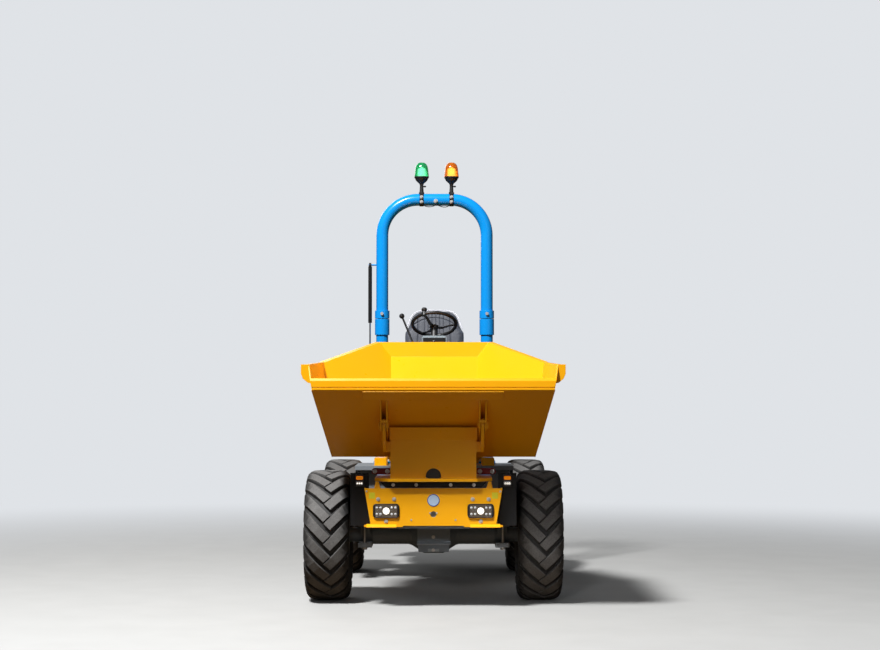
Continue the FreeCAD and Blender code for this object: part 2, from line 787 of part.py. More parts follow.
def above_rim(drop):
    """The space over the rim's side outline, lowered by drop."""
    return side_prism(
        [(lip_y - 100, lip_top_z - drop), (lip_y, lip_top_z - drop), (corner_y, corner_z - drop),
         (fold_y, fold_z - drop), (back_y, back_z - drop), (100, back_z - drop),
         (100, 3 * half_length), (lip_y - 100, 3 * half_length)],
        -half_length, half_length)


skip_shell = skip_form(0, False).cut(skip_form(-skip_wall, True)).cut(above_rim(0))
rim_band = skip_form(rim_out, False).cut(skip_form(-1, True)).cut(above_rim(0)).common(above_rim(rim_h))
rim_band = rim_band.cut(box(-half_length, half_length, lip_y - 100, corner_y + 20, 0, 3000))
lip_box = side_prism(
    [(lip_y + 1, lip_low_z), (lip_y + 1, lip_top_z), (lip_y + lip_box_d, lip_top_z),
     (lip_y + lip_box_d, lip_low_z - front_slope * lip_box_d + 1)],
    -lip_half + 4, lip_half - 4)
lip_ear = front_prism(
    [(lip_half + 22, corner_z), (lip_half + 69, corner_z), (lip_half + 69, corner_z - 57),
     (lip_half + 57, corner_z - 87), (lip_half + 27, corner_z - 112), (lip_half + 4, corner_z - 117)],
    corner_y - 6, corner_y + 24)
lip_groove = mid_box(lip_half + 10, lip_y - 1, lip_y + 4, lip_low_z + 13, lip_low_z + 17)


def slope_z(y):
    """Height of the front slope's underside."""
    return lip_low_z - front_slope * (y - lip_y)


cross_y0 = lip_y + 8
cross_y1 = cross_y0 + cross_plate_drop / front_slope
cross_out = cross_plate_proud / math.hypot(1, front_slope)
cross_plate = side_prism(
    [(cross_y0, slope_z(cross_y0) + 2), (cross_y1, slope_z(cross_y1) + 2),
     (cross_y1 - cross_out * front_slope, slope_z(cross_y1) - cross_out),
     (cross_y0 - cross_out * front_slope, slope_z(cross_y0) - cross_out)],
    -cross_plate_half, cross_plate_half)
rib_profile = [
    (rib_front_y, slope_z(rib_front_y) + 2), (rib_front_y, slope_z(rib_front_y) - 18),
    (tip_pin_y - 34, tip_pin_z - 20), (tip_pin_y + 8, tip_pin_z - 39), (tip_pin_y + 60, tip_pin_z - 40),
    (rib_rear_y, slope_z(rib_rear_y) - 14), (rib_rear_y, slope_z(rib_rear_y) + 2)]
eye_cut = disc_x(rib_in_x - 20, rib_out_x + 20, tip_pin_y, tip_pin_z, tip_pin_r + pin_fit)
ribs = []
for x in (rib_in_x, rib_out_x - rib_thick):
    rib = fuse(
        side_prism(rib_profile, x, x + rib_thick),
        disc_x(x, x + rib_thick, tip_pin_y, tip_pin_z, ear_eye_r))
    ribs.append(rib.cut(eye_cut))
tip_eye_half = 24
steer_eye_half = 16
skip_lug = side_prism(
    [(tip_eye_y - 45, floor_z + 2), (tip_eye_y - 20, tip_eye_z - 18), (tip_eye_y + 20, tip_eye_z - 18),
     (tip_eye_y + 45, floor_z + 2)],
    tip_eye_half + tip_lug_gap, tip_eye_half + tip_lug_gap + 12)
skip = fuse(skip_shell, rim_band, lip_box.cut(lip_groove), lip_ear, mirror(lip_ear), cross_plate,
            *ribs, *[mirror(rib) for rib in ribs], skip_lug, mirror(skip_lug))
skip = skip.cut(lip_groove)
save("skip", skip)


# Cylinders: a barrel turning on its own pin, and a rod whose far eye is free to drift at its bracket
def ram(base, eye, across, barrel_r, rod_r, barrel_len, bolt_r, half_width, eye_half, rod_start):
    """Barrel and rod along the line from base to eye; across is the direction of both pins."""
    along = eye - base
    along.normalize()
    ring_r = barrel_r * 0.72
    half = across * half_width
    barrel = fuse(
        rod(base - half, base + half, ring_r),
        rod(base + along * (ring_r * 0.6), base + along * (neck_len + 2), half_width - 3),
        rod(base + along * neck_len, base + along * barrel_len, barrel_r))
    barrel = barrel.cut(rod(base - half * 1.5, base + half * 1.5, bolt_r + pin_fit))
    bore_start = base + along * (ring_r + 12)
    barrel = barrel.cut(rod(bore_start, base + along * (barrel_len + 5), rod_r + pin_fit))
    shaft = fuse(
        rod(base + along * rod_start, eye - along * (bolt_r * 0.5), rod_r),
        rod(eye - across * eye_half, eye + across * eye_half, bolt_r + 8))
    return barrel, shaft


tip_barrel, tip_rod = ram(
    V(0, tip_barrel_y, tip_barrel_z), V(0, tip_eye_y, tip_eye_z), X_AXIS,
    tip_barrel_r, tip_rod_r, tip_barrel_len, tip_bolt_r, barrel_half, tip_eye_half, 50)
save("tip_barrel", tip_barrel)
save("tip_rod", tip_rod)
steer_barrel, steer_rod = ram(
    V(steer_barrel_x, steer_barrel_y, steer_z), V(steer_eye_x, steer_eye_y, steer_z), Z_AXIS,
    steer_barrel_r, steer_rod_r, steer_barrel_len, steer_bolt_r, barrel_half, steer_eye_half, 150)
save("steer_barrel", steer_barrel)
save("steer_rod", steer_rod)

# Rear chassis: rails, hinge ears with the steering pin, engine tray, spring wings and outriggers
tray_z = bonnet_low_z
rail_in_rear = rear_half_w - rear_rail_w
ear_rear_y = rear_front_y + 30
steer_ear = fuse(
    disc_z(0, 0, 0, ear_thick, pivot_half_w),
    mid_box(pivot_half_w, 0, ear_rear_y, 0, ear_thick))
upper_ear = steer_ear.translated(V(0, 0, pivot_high_z + ear_gap))
lower_ear = steer_ear.translated(V(0, 0, pivot_low_z - ear_gap - ear_thick))
ear_low_z = pivot_low_z - ear_gap - ear_thick
ear_high_z = pivot_high_z + ear_gap + ear_thick
steer_pin = disc_z(0, 0, ear_low_z, ear_high_z + 12, steer_pin_r)
barrel_low = steer_z - barrel_half - cheek_gap
barrel_high = steer_z + barrel_half + cheek_gap
bracket_in_x = steer_barrel_x - 30
bracket_rear_y = steer_barrel_y + 60
steer_bracket_low_z = barrel_low - 24
steer_bracket_top_z = rear_low_z + 10
steer_bracket = fuse(
    box(bracket_in_x, rear_half_w, steer_barrel_y - 20, bracket_rear_y, barrel_high, steer_bracket_top_z),
    box(bracket_in_x, rear_half_w, steer_barrel_y - 20, bracket_rear_y, steer_bracket_low_z, barrel_low),
    box(bracket_in_x, rear_half_w, steer_barrel_y + 30, bracket_rear_y, steer_bracket_low_z, steer_bracket_top_z),
    disc_z(steer_barrel_x, steer_barrel_y, steer_bracket_low_z, steer_bracket_top_z, steer_bolt_r))
outrigger_y0 = hoop_y - 45
outrigger_y1 = hoop_y + 45
floor_low_z = floor_plate_z - floor_plate_thick
rear_chassis = fuse(
    both(box(rail_in_rear, rear_half_w, rear_front_y, rear_end_y, rear_low_z, rear_top_z)),
    mid_box(rear_half_w, rear_front_y, ear_rear_y, rear_low_z, floor_low_z - gap),
    mid_box(pivot_half_w, rear_front_y, ear_rear_y, ear_low_z, rear_low_z + 5),
    upper_ear, lower_ear, steer_pin, steer_bracket,
    mid_box(floor_plate_half - 40, outrigger_y0, outrigger_y1, rear_top_z - 10, floor_low_z - gap),
    both(box(rail_in_rear, rear_half_w, outrigger_y1 + 35, rear_end_y, rear_top_z - 10, tray_z - 14)),
    mid_box(bonnet_half + 12, outrigger_y1 + 35, rear_end_y, tray_z - 15, tray_z).cut(
        mid_box(rail_in_rear, outrigger_y1 + 90, rear_end_y - 90, tray_z - 30, tray_z + 10)),
    mid_box(rear_half_w, rear_end_y - 40, rear_end_y, rear_low_z, rear_top_z),
    spring_wing(rear_half_w + 205, rail_in_rear, rear_axle_y, rear_low_z))
hinge_posts = [
    side_prism(
        [(hinge_y - hinge_r, tray_z - 5), (hinge_y - hinge_r, hinge_z + 4), (hinge_y - 5, hinge_z + hinge_r),
         (hinge_y + 5, hinge_z + hinge_r), (hinge_y + hinge_r, hinge_z + 4), (hinge_y + hinge_r, tray_z - 5)],
        hinge_x + start, hinge_x + start + 8)
    for start in (-hinge_w / 2 - 10, hinge_w / 2 + 2)]
hinge_pin = disc_x(hinge_x - hinge_w / 2 - 12, hinge_x + hinge_w / 2 + 12, hinge_y, hinge_z, hinge_pin_r)
rear_chassis = fuse(rear_chassis, *[both(post) for post in hinge_posts], both(hinge_pin))
save("rear_chassis", rear_chassis)

# Operator's platform with a tongue that carries the console, and low side boxes on it
platform = fuse(
    mid_box(floor_plate_half, floor_plate_front_y, floor_plate_rear_y, floor_low_z, floor_plate_z),
    mid_box(tongue_half, tongue_front_y, floor_plate_front_y + 5, floor_low_z, floor_plate_z))
save("platform", platform)
side_box = box(side_box_in_x, side_box_in_x + side_box_w, step_front_y - 20, hoop_y - 100,
               floor_plate_z + gap, floor_plate_z + side_box_h)
side_box_top_z = floor_plate_z + side_box_h
save("side_boxes", both(round_edges(
    side_box, 8, lambda edge: runs_along(edge, Y_AXIS) and edge.Vertexes[0].Z > side_box_top_z - 1)))

# Steps hung from the platform's outer edges, two treads a side
tread_slots = [
    box(step_in_x + 14 + tread_slot_pitch * column, step_in_x + 26 + tread_slot_pitch * column,
        step_front_y + 30 + 70 * row, step_front_y + 70 + 70 * row, step_levels[0] - 5, step_levels[1] + 30)
    for column in range(3) for row in range(4)]
treads = [
    box(step_in_x, step_out_x, step_front_y, step_rear_y, level, level + 22).cut(Part.makeCompound(tread_slots))
    for level in step_levels]
stringers = [
    box(step_in_x, floor_plate_half - 2, y, y + plate, step_levels[0], floor_low_z - gap)
    for y in (step_front_y, step_rear_y - plate)]
step_cheeks = [
    box(step_in_x, step_out_x, y, y + plate, step_levels[0], step_levels[1] + 60)
    for y in (step_front_y, step_rear_y - plate)]
save("steps", both(fuse(*treads, *stringers, *step_cheeks)))

# Fuel tank on the left rail and hydraulic oil tank on the right one
tank = box(rear_half_w + gap, tank_out_x, step_front_y + 20, step_rear_y + 30, tank_low_z, floor_low_z - gap)
tank = round_edges(
    tank, tank_round, lambda edge: runs_along(edge, Y_AXIS) and edge.Vertexes[0].X > tank_out_x - 1)
save("tanks", both(tank))

# Engine as one block on its mounts between the rails
engine_w, engine_len, engine_h = engine_size
engine = fuse(
    mid_box(engine_w / 2, engine_y - engine_len / 2, engine_y + engine_len / 2, engine_low_z,
            engine_low_z + engine_h),
    mid_box(rail_in_rear - gap, engine_y - 60, engine_y + 60, rear_top_z - 90, rear_top_z - 30))
save("engine", engine)

# Bonnet: one folded sheet cover, open below, sloping down to the rear, with a grille in its back
def bonnet_form(inset, extra_low):
    low_z = bonnet_low_z + gap - extra_low
    profile = [
        (bonnet_front_y + inset, low_z), (bonnet_front_y + inset, bonnet_top_z - inset),
        (bonnet_rear_y - bonnet_slope_len, bonnet_top_z - inset),
        (bonnet_rear_y - inset, bonnet_top_z - bonnet_slope - inset), (bonnet_rear_y - inset, low_z)]
    solid = side_prism(profile, -bonnet_half + inset, bonnet_half - inset)
    top = [edge for edge in solid.Edges if abs(edge.Vertexes[0].X - edge.Vertexes[-1].X) < 1
           and min(vertex.Z for vertex in edge.Vertexes) > bonnet_top_z - bonnet_slope - inset - 1]
    return solid.makeFillet(bonnet_round - inset, top)


grille_cut = mid_box(grille_half, bonnet_rear_y - 60, bonnet_rear_y + 20, grille_low_z, grille_high_z)
bonnet = bonnet_form(0, 0).cut(bonnet_form(bonnet_wall, 50)).cut(grille_cut)
hinge_bore = disc_x(hinge_x - hinge_w, hinge_x + hinge_w, hinge_y, hinge_z, hinge_pin_r + pin_fit)
knuckle_x0 = hinge_x - hinge_w / 2
knuckle_x1 = hinge_x + hinge_w / 2
knuckle = fuse(
    disc_x(knuckle_x0, knuckle_x1, hinge_y, hinge_z, hinge_r),
    box(knuckle_x0, knuckle_x1, bonnet_rear_y - 2, hinge_y, hinge_z, hinge_z + hinge_r),
    box(knuckle_x0, knuckle_x1, bonnet_rear_y - 2, bonnet_rear_y + 5, hinge_z, hinge_z + 60))
bonnet = fuse(bonnet, both(knuckle.cut(hinge_bore)))
save("bonnet", bonnet)
bar_pitch = (grille_high_z - grille_low_z) / grille_bars
bars = []
for row in range(1, grille_bars):
    bar_z = grille_low_z + bar_pitch * row
    bars.append(side_prism(
        [(bonnet_rear_y - 34, bar_z + 4), (bonnet_rear_y - 12, bar_z + 20),
         (bonnet_rear_y - 12, bar_z + 14), (bonnet_rear_y - 34, bar_z - 2)],
        -grille_half - 20, grille_half + 20))
frame_out = mid_box(grille_half + 30, bonnet_rear_y - 36, bonnet_rear_y - bonnet_wall - gap,
                    grille_low_z - 26, grille_high_z + 20)
frame_in = mid_box(grille_half - 4, bonnet_rear_y - 60, bonnet_rear_y + 20, grille_low_z + 2, grille_high_z - 2)
bonnet_grille = fuse(frame_out.cut(frame_in), *bars)
save("bonnet_grille", bonnet_grille)

# Counterweight: cast block with rounded corners and a tow jaw with an open pin bore
weight = mid_box(weight_half, weight_front_y, half_length, weight_low_z, weight_high_z)
weight = round_edges(
    weight, weight_round, lambda edge: runs_along(edge, Z_AXIS) and edge.Vertexes[0].Y > weight_front_y + 1)
jaw_y = half_length - 34
pocket_low_z = hitch_z - hitch_pocket_half
pocket_high_z = hitch_z + hitch_pocket_half
weight = weight.cut(mid_box(hitch_pocket_half, half_length - 62, half_length + 10, pocket_low_z, pocket_high_z))
for low in (hitch_z - hitch_gap / 2 - 20, hitch_z + hitch_gap / 2):
    weight = weight.fuse(mid_box(52, half_length - 65, half_length - 4, low, low + 20))
weight = weight.cut(disc_z(0, jaw_y, pocket_low_z + 1, pocket_high_z - 1, hitch_pin_r + 1))
for low, high in ((weight_low_z - 5, pocket_low_z + 1), (pocket_high_z - 1, weight_high_z + 5)):
    weight = weight.cut(disc_z(0, jaw_y, low, high, hitch_access_r))
weight = weight.removeSplitter()
save("counterweight", weight)

# Exhaust: silencer on the right rail with a tail pipe to the rear
silencer_x = -rear_half_w - silencer_r - 12
silencer_front_y = rear_axle_y + 230
silencer_rear_y = silencer_front_y + silencer_len
strap_y = (silencer_front_y + silencer_rear_y) / 2
silencer = rod(
    V(silencer_x, silencer_front_y, silencer_z), V(silencer_x, silencer_rear_y, silencer_z), silencer_r)
tail_pipe = rod(
    V(silencer_x, silencer_rear_y - 20, silencer_z), V(silencer_x, weight_front_y - 30, silencer_z), tail_pipe_r)
strap = box(
    -rear_half_w - silencer_r, -rear_half_w - gap, strap_y - 20, strap_y + 20, silencer_z - 40, silencer_z + 40)
exhaust = fuse(silencer, tail_pipe, strap)
save("exhaust", exhaust)

# Seat: box base, steel frame, cushion and leaning back
seat_base = mid_box(seat_base_half, seat_base_front_y, seat_base_rear_y, floor_plate_z + gap, seat_base_top_z)
seat_base = round_edges(seat_base, 20, lambda edge: runs_along(edge, Z_AXIS))
save("seat_base", seat_base)
pan_z = seat_base_top_z + gap
seat_frame = fuse(
    mid_box(seat_base_half - 15, seat_base_front_y, cushion_rear_y + 20, pan_z, pan_z + 14),
    side_prism(
        [(cushion_rear_y + 8, pan_z), (cushion_rear_y + 8 + back_seat_lean, back_seat_top_z - 160),
         (cushion_rear_y + 20 + back_seat_lean, back_seat_top_z - 160), (cushion_rear_y + 20, pan_z)],
        -110, 110))
save("seat_frame", seat_frame)
cushion_z = pan_z + 14 + gap
cushion = mid_box(cushion_half, cushion_front_y, cushion_rear_y, cushion_z, cushion_z + cushion_thick)
cushion = round_edges(cushion, cushion_round, lambda edge: edge.Vertexes[0].Z > cushion_z + 1)
save("seat_cushion", cushion)
lean_per_z = back_seat_lean / (back_seat_top_z - 160 - pan_z)


def back_face_y(z):
    """Front side of the seat frame's leaning plate."""
    return cushion_rear_y + 8 - gap - 0.2 + lean_per_z * (z - pan_z)


wing_z = back_seat_top_z - 225
seat_back_side = side_prism(
    [(back_face_y(back_seat_low_z), back_seat_low_z), (back_face_y(back_seat_top_z), back_seat_top_z),
     (back_face_y(back_seat_top_z) - back_seat_thick * 0.6, back_seat_top_z),
     (back_face_y(back_seat_low_z) - back_seat_thick, back_seat_low_z)],
    -back_seat_half, back_seat_half)
seat_back_front = round_edges(
    front_prism(
        [(-back_seat_half, back_seat_low_z), (back_seat_half, back_seat_low_z), (back_seat_half, wing_z),
         (back_top_half + 15, wing_z + 60), (back_top_half, back_seat_top_z), (-back_top_half, back_seat_top_z),
         (-back_top_half - 15, wing_z + 60), (-back_seat_half, wing_z)],
        cushion_front_y, hoop_y + 50),
    back_corner, lambda edge: runs_along(edge, Y_AXIS) and edge.Vertexes[0].Z > back_seat_top_z - 1)
seat_back = seat_back_side.common(seat_back_front)
seat_back = round_edges(
    seat_back, 24, lambda edge: edge.CenterOfMass.y < back_face_y(edge.CenterOfMass.z) - back_seat_thick * 0.5
    and edge.CenterOfMass.z > back_seat_low_z + 5)
save("seat_back", seat_back)

# Console with the steering column, and the lever beside it
wheel_normal = V(0, math.sin(math.radians(wheel_tilt)), math.cos(math.radians(wheel_tilt)))
wheel_centre = V(0, wheel_centre_y, wheel_centre_z)
console = side_prism(
    [(console_front_y, floor_plate_z + gap), (console_front_y, console_top_z),
     (console_front_y + 50, console_top_z), (console_rear_y, console_top_z - 60),
     (console_rear_y, floor_plate_z + gap)], -console_half, console_half)
console = round_edges(console, 14, lambda edge: runs_along(edge, Z_AXIS))
column = rod(wheel_centre - wheel_normal * 160, wheel_centre - wheel_normal * 30, column_r)
lever_foot = V(-console_half - 55, 20, console_top_z - 70)
knob_centre = V(-console_half - lever_reach, wheel_centre_y + 12, console_top_z + 158)
lever = fuse(
    box(-console_half - 75, -console_half + 20, 0, 40, console_top_z - 110, console_top_z - 60),
    rod(lever_foot, knob_centre, 7))
console = fuse(console, column, lever)
knob = Part.makeSphere(lever_knob_r, knob_centre)
console = fuse(console, knob)
save("console", console)

# Steering wheel: round rim, three spokes, hub and a spinner knob
turn_up = FreeCAD.Rotation(Z_AXIS, wheel_normal)
ring = Part.makeTorus(wheel_rim_r - wheel_grip_r, wheel_grip_r)
spokes = [
    rod(V(0, 0, -6), V((wheel_rim_r - wheel_grip_r) * math.cos(math.radians(angle)),
                       (wheel_rim_r - wheel_grip_r) * math.sin(math.radians(angle)), 0), 9)
    for angle in (150, 270, 30)]
hub = rod(V(0, 0, -30 + gap), V(0, 0, 14), wheel_hub_r)
spinner = rod(V(-96, 122, 0), V(-96, 122, 46), knob_r)
steering_wheel = fuse(ring, hub, spinner, *spokes)
steering_wheel.Placement = FreeCAD.Placement(wheel_centre, turn_up)
save("steering_wheel", steering_wheel)

# Roll hoop: lower legs with foot plates and sleeves, and an upper bow folding about pins behind them
fold_y_pin = hoop_y + sleeve_r + 24
lower_parts = []
upper_parts = []
for sign in (1, -1):
    x = sign * hoop_half
    lower_parts += [
        box(x - foot_half, x + foot_half, hoop_y - 70, hoop_y + 70, floor_plate_z + gap, floor_plate_z + 16),
        disc_z(x, hoop_y, floor_plate_z + 15, hoop_fold_z - 2, hoop_tube_r),
        disc_z(x, hoop_y, hoop_fold_z - sleeve_h, hoop_fold_z - 2, sleeve_r),
        disc_x(x - 40, x + 40, fold_y_pin, hoop_fold_z, 12)]
    for lug_x in (x - 36, x + 14):
        lower_parts.append(side_prism(
            [(hoop_y + 20, hoop_fold_z - 80), (hoop_y + 20, hoop_fold_z - 10),
             (fold_y_pin + 16, hoop_fold_z + 14), (fold_y_pin + 18, hoop_fold_z - 22)], lug_x, lug_x + 22))
    upper_lug = side_prism(
        [(hoop_y + 20, hoop_fold_z + 14), (hoop_y + 20, hoop_fold_z + 80), (fold_y_pin + 18, hoop_fold_z + 22),
         (fold_y_pin + 16, hoop_fold_z - 14), (fold_y_pin - 16, hoop_fold_z - 14),
         (fold_y_pin - 16, hoop_fold_z + 6)], x - 11, x + 11)
    upper_lug = upper_lug.cut(disc_x(x - 20, x + 20, fold_y_pin, hoop_fold_z, 12 + pin_fit))
    upper_parts += [upper_lug, disc_z(x, hoop_y, hoop_fold_z + 2, hoop_fold_z + sleeve_h / 2, sleeve_r)]
strut_eye = 16
lower_parts += [
    rod(V(-hoop_half, hoop_y, hoop_fold_z - strut_low), V(strut_x + 12, hoop_y, hoop_fold_z - strut_low), 13)]
hoop_lower = fuse(*lower_parts)
save("hoop_lower", hoop_lower)

bend_z = hoop_top_z - hoop_bend
flat_half = hoop_half - hoop_bend
mid = hoop_bend * math.sqrt(0.5)
path = Part.Wire([
    Part.makeLine(V(hoop_half, hoop_y, hoop_fold_z + 2), V(hoop_half, hoop_y, bend_z)),
    Part.Arc(V(hoop_half, hoop_y, bend_z), V(flat_half + mid, hoop_y, bend_z + mid),
             V(flat_half, hoop_y, hoop_top_z)).toShape(),
    Part.makeLine(V(flat_half, hoop_y, hoop_top_z), V(-flat_half, hoop_y, hoop_top_z)),
    Part.Arc(V(-flat_half, hoop_y, hoop_top_z), V(-flat_half - mid, hoop_y, bend_z + mid),
             V(-hoop_half, hoop_y, bend_z)).toShape(),
    Part.makeLine(V(-hoop_half, hoop_y, bend_z), V(-hoop_half, hoop_y, hoop_fold_z + 2))])
section = Part.Wire([Part.makeCircle(hoop_tube_r, V(hoop_half, hoop_y, hoop_fold_z + 2), Z_AXIS)])
bow = path.makePipeShell([section], True, False)
strut_top_z = hoop_fold_z + strut_top
strut_pin = rod(V(-hoop_half, hoop_y, strut_top_z), V(strut_x - 12, hoop_y, strut_top_z), 6)
hoop_upper = fuse(bow, strut_pin, *upper_parts)
save("hoop_upper", hoop_upper)

# Gas strut beside the right leg
strut_barrel = fuse(
    rod(V(strut_x - 8, hoop_y, strut_top_z), V(strut_x + 8, hoop_y, strut_top_z), strut_eye),
    disc_z(strut_x, hoop_y, strut_top_z - strut_body_len, strut_top_z - 10, strut_body_r))
strut_barrel = strut_barrel.cut(disc_x(strut_x - 12, strut_x + 12, hoop_y, strut_top_z, 6 + pin_fit))
strut_low_z = hoop_fold_z - strut_low
strut_barrel = strut_barrel.cut(
    disc_z(strut_x, hoop_y, strut_top_z - strut_body_len - 5, strut_top_z - 24, strut_rod_r + pin_fit))
save("strut_barrel", strut_barrel)
strut_rod = fuse(
    disc_z(strut_x, hoop_y, strut_low_z + 8, strut_top_z - strut_body_len + 60, strut_rod_r),
    rod(V(strut_x - 8, hoop_y, strut_low_z), V(strut_x + 8, hoop_y, strut_low_z), 11))
save("strut_rod", strut_rod)

# Beacons: saddle and stem on the bow, flared base and ribbed dome
beacons = []
for x in beacon_x:
    tube_top = hoop_top_z + hoop_tube_r
    beacon_top_z = beacon_z + beacon_h
    outline = [
        (0, tube_top + gap), (24, tube_top + gap), (24, tube_top + 12), (13, tube_top + 16),
        (13, beacon_z - 60), (30, beacon_z - 50), (46, beacon_z - 12), (beacon_r, beacon_z),
        (beacon_r, beacon_z + beacon_h * 0.7), (beacon_r - 16, beacon_top_z - 6),
        (beacon_r - 30, beacon_top_z), (0, beacon_top_z)]
    beacons.append(face_of([V(x + r, hoop_y, z) for r, z in outline]).revolve(V(x, hoop_y, 0), Z_AXIS, 360))
save("beacons", Part.makeCompound(beacons))
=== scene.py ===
import math

import bmesh
import bpy
from mathutils import Matrix, Vector


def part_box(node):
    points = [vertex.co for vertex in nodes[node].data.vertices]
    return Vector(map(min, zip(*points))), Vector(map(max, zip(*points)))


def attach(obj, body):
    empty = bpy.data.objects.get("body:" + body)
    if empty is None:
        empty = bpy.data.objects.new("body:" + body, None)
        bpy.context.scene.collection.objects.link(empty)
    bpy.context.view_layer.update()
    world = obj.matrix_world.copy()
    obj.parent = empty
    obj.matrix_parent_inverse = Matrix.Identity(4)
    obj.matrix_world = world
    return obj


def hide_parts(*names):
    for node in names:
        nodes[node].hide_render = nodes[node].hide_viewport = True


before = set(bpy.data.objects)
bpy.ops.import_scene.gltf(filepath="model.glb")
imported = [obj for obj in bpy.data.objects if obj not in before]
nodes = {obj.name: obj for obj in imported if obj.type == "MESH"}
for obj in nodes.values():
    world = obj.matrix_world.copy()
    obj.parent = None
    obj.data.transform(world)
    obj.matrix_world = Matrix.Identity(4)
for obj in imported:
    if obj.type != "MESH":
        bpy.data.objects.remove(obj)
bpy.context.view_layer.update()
scene = bpy.context.scene

# Camera: a long lens at eye height, straight ahead of the skip, 12 m from the front axle,
# level with the rim of the skip so that its inside just shows over the lip.
camera_at = Vector((0.041, -12.95, 1.366))
camera_pitch = math.radians(2.07)
camera = bpy.data.objects.new("camera", bpy.data.cameras.new("camera"))
camera.data.sensor_width = 36.0
camera.data.lens = 74.45
camera.data.clip_end = 200.0
camera.location = camera_at
camera.rotation_euler = (math.radians(90.0) + camera_pitch, 0.0, 0.0)
scene.collection.objects.link(camera)
scene.camera = camera

# Studio: a pale floor that runs out of sight, an even sky and three soft lamps. The key stands
# high on the camera's left, as the sun does over the real machine, and leaves the underside dark.
scene.view_settings.view_transform = "Standard"
floor_half = 60.0
floor_mesh = bpy.data.meshes.new("floor")
floor_mesh.from_pydata(
    [(-floor_half, -floor_half, 0.0), (floor_half, -floor_half, 0.0), (floor_half, floor_half, 0.0),
     (-floor_half, floor_half, 0.0)], [], [(0, 1, 2, 3)])
floor = bpy.data.objects.new("floor", floor_mesh)
scene.collection.objects.link(floor)
floor_finish = bpy.data.materials.new("pale_floor")
floor_finish.use_nodes = True
floor_tree = floor_finish.node_tree
floor_shader = floor_tree.nodes["Principled BSDF"]
floor_shader.inputs["Roughness"].default_value = 0.85
floor_place = floor_tree.nodes.new("ShaderNodeTexCoord")
floor_speckle = floor_tree.nodes.new("ShaderNodeTexNoise")
floor_speckle.inputs["Scale"].default_value = 3.0
floor_speckle.inputs["Detail"].default_value = 6.0
floor_tone = floor_tree.nodes.new("ShaderNodeMix")
floor_tone.data_type = "RGBA"
floor_tone.inputs["A"].default_value = (0.44, 0.44, 0.43, 1.0)
floor_tone.inputs["B"].default_value = (0.50, 0.50, 0.49, 1.0)
floor_bounce = floor_tree.nodes.new("ShaderNodeMix")
floor_bounce.data_type = "RGBA"
floor_bounce.inputs[6].default_value = (0.09, 0.052, 0.018, 1.0)
floor_reach = floor_tree.nodes.new("ShaderNodeVectorMath")
floor_reach.operation = "LENGTH"
floor_fade = floor_tree.nodes.new("ShaderNodeMapRange")
floor_fade.interpolation_type = "SMOOTHSTEP"
floor_fade.inputs["From Min"].default_value = 2.5
floor_fade.inputs["From Max"].default_value = 10.0
floor_far = floor_tree.nodes.new("ShaderNodeEmission")
floor_far.inputs["Color"].default_value = (0.93, 0.96, 1.0, 1.0)
floor_far.inputs["Strength"].default_value = 0.80
floor_rays = floor_tree.nodes.new("ShaderNodeLightPath")
floor_share = floor_tree.nodes.new("ShaderNodeMath")
floor_share.operation = "MULTIPLY"
floor_mix = floor_tree.nodes.new("ShaderNodeMixShader")
for source, target in (
        (floor_place.outputs["Object"], floor_speckle.inputs["Vector"]),
        (floor_speckle.outputs["Fac"], floor_tone.inputs["Factor"]),
        (floor_tone.outputs[2], floor_bounce.inputs[7]),
        (floor_rays.outputs["Is Camera Ray"], floor_bounce.inputs[0]),
        (floor_bounce.outputs[2], floor_shader.inputs["Base Color"]),
        (floor_place.outputs["Object"], floor_reach.inputs[0]),
        (floor_reach.outputs["Value"], floor_fade.inputs["Value"]),
        (floor_fade.outputs["Result"], floor_share.inputs[0]),
        (floor_rays.outputs["Is Camera Ray"], floor_share.inputs[1]),
        (floor_share.outputs["Value"], floor_mix.inputs["Fac"]),
        (floor_shader.outputs["BSDF"], floor_mix.inputs[1]),
        (floor_far.outputs["Emission"], floor_mix.inputs[2]),
        (floor_mix.outputs["Shader"], floor_tree.nodes["Material Output"].inputs["Surface"])):
    floor_tree.links.new(source, target)
floor_mesh.materials.append(floor_finish)

world = bpy.data.worlds.new("studio")
world.use_nodes = True
scene.world = world
sky = world.node_tree.nodes["Background"]
sky_path = world.node_tree.nodes.new("ShaderNodeLightPath")
sky_strength = world.node_tree.nodes.new("ShaderNodeMix")
sky_strength.data_type = "FLOAT"
sky_strength.inputs["A"].default_value = 0.13
sky_strength.inputs["B"].default_value = 0.80
sky.inputs["Color"].default_value = (0.93, 0.96, 1.0, 1.0)
world.node_tree.links.new(sky_path.outputs["Is Camera Ray"], sky_strength.inputs["Factor"])
world.node_tree.links.new(sky_strength.outputs["Result"], sky.inputs["Strength"])


def add_lamp(name, place, aim, width, power):
    """A square soft lamp that points at a place on the machine."""
    lamp = bpy.data.objects.new(name, bpy.data.lights.new(name, "AREA"))
    lamp.data.shape = "SQUARE"
    lamp.data.size = width
    lamp.data.energy = power
    lamp.location = place
    lamp.rotation_euler = (Vector(aim) - Vector(place)).to_track_quat("-Z", "Y").to_euler()
    scene.collection.objects.link(lamp)
    return lamp


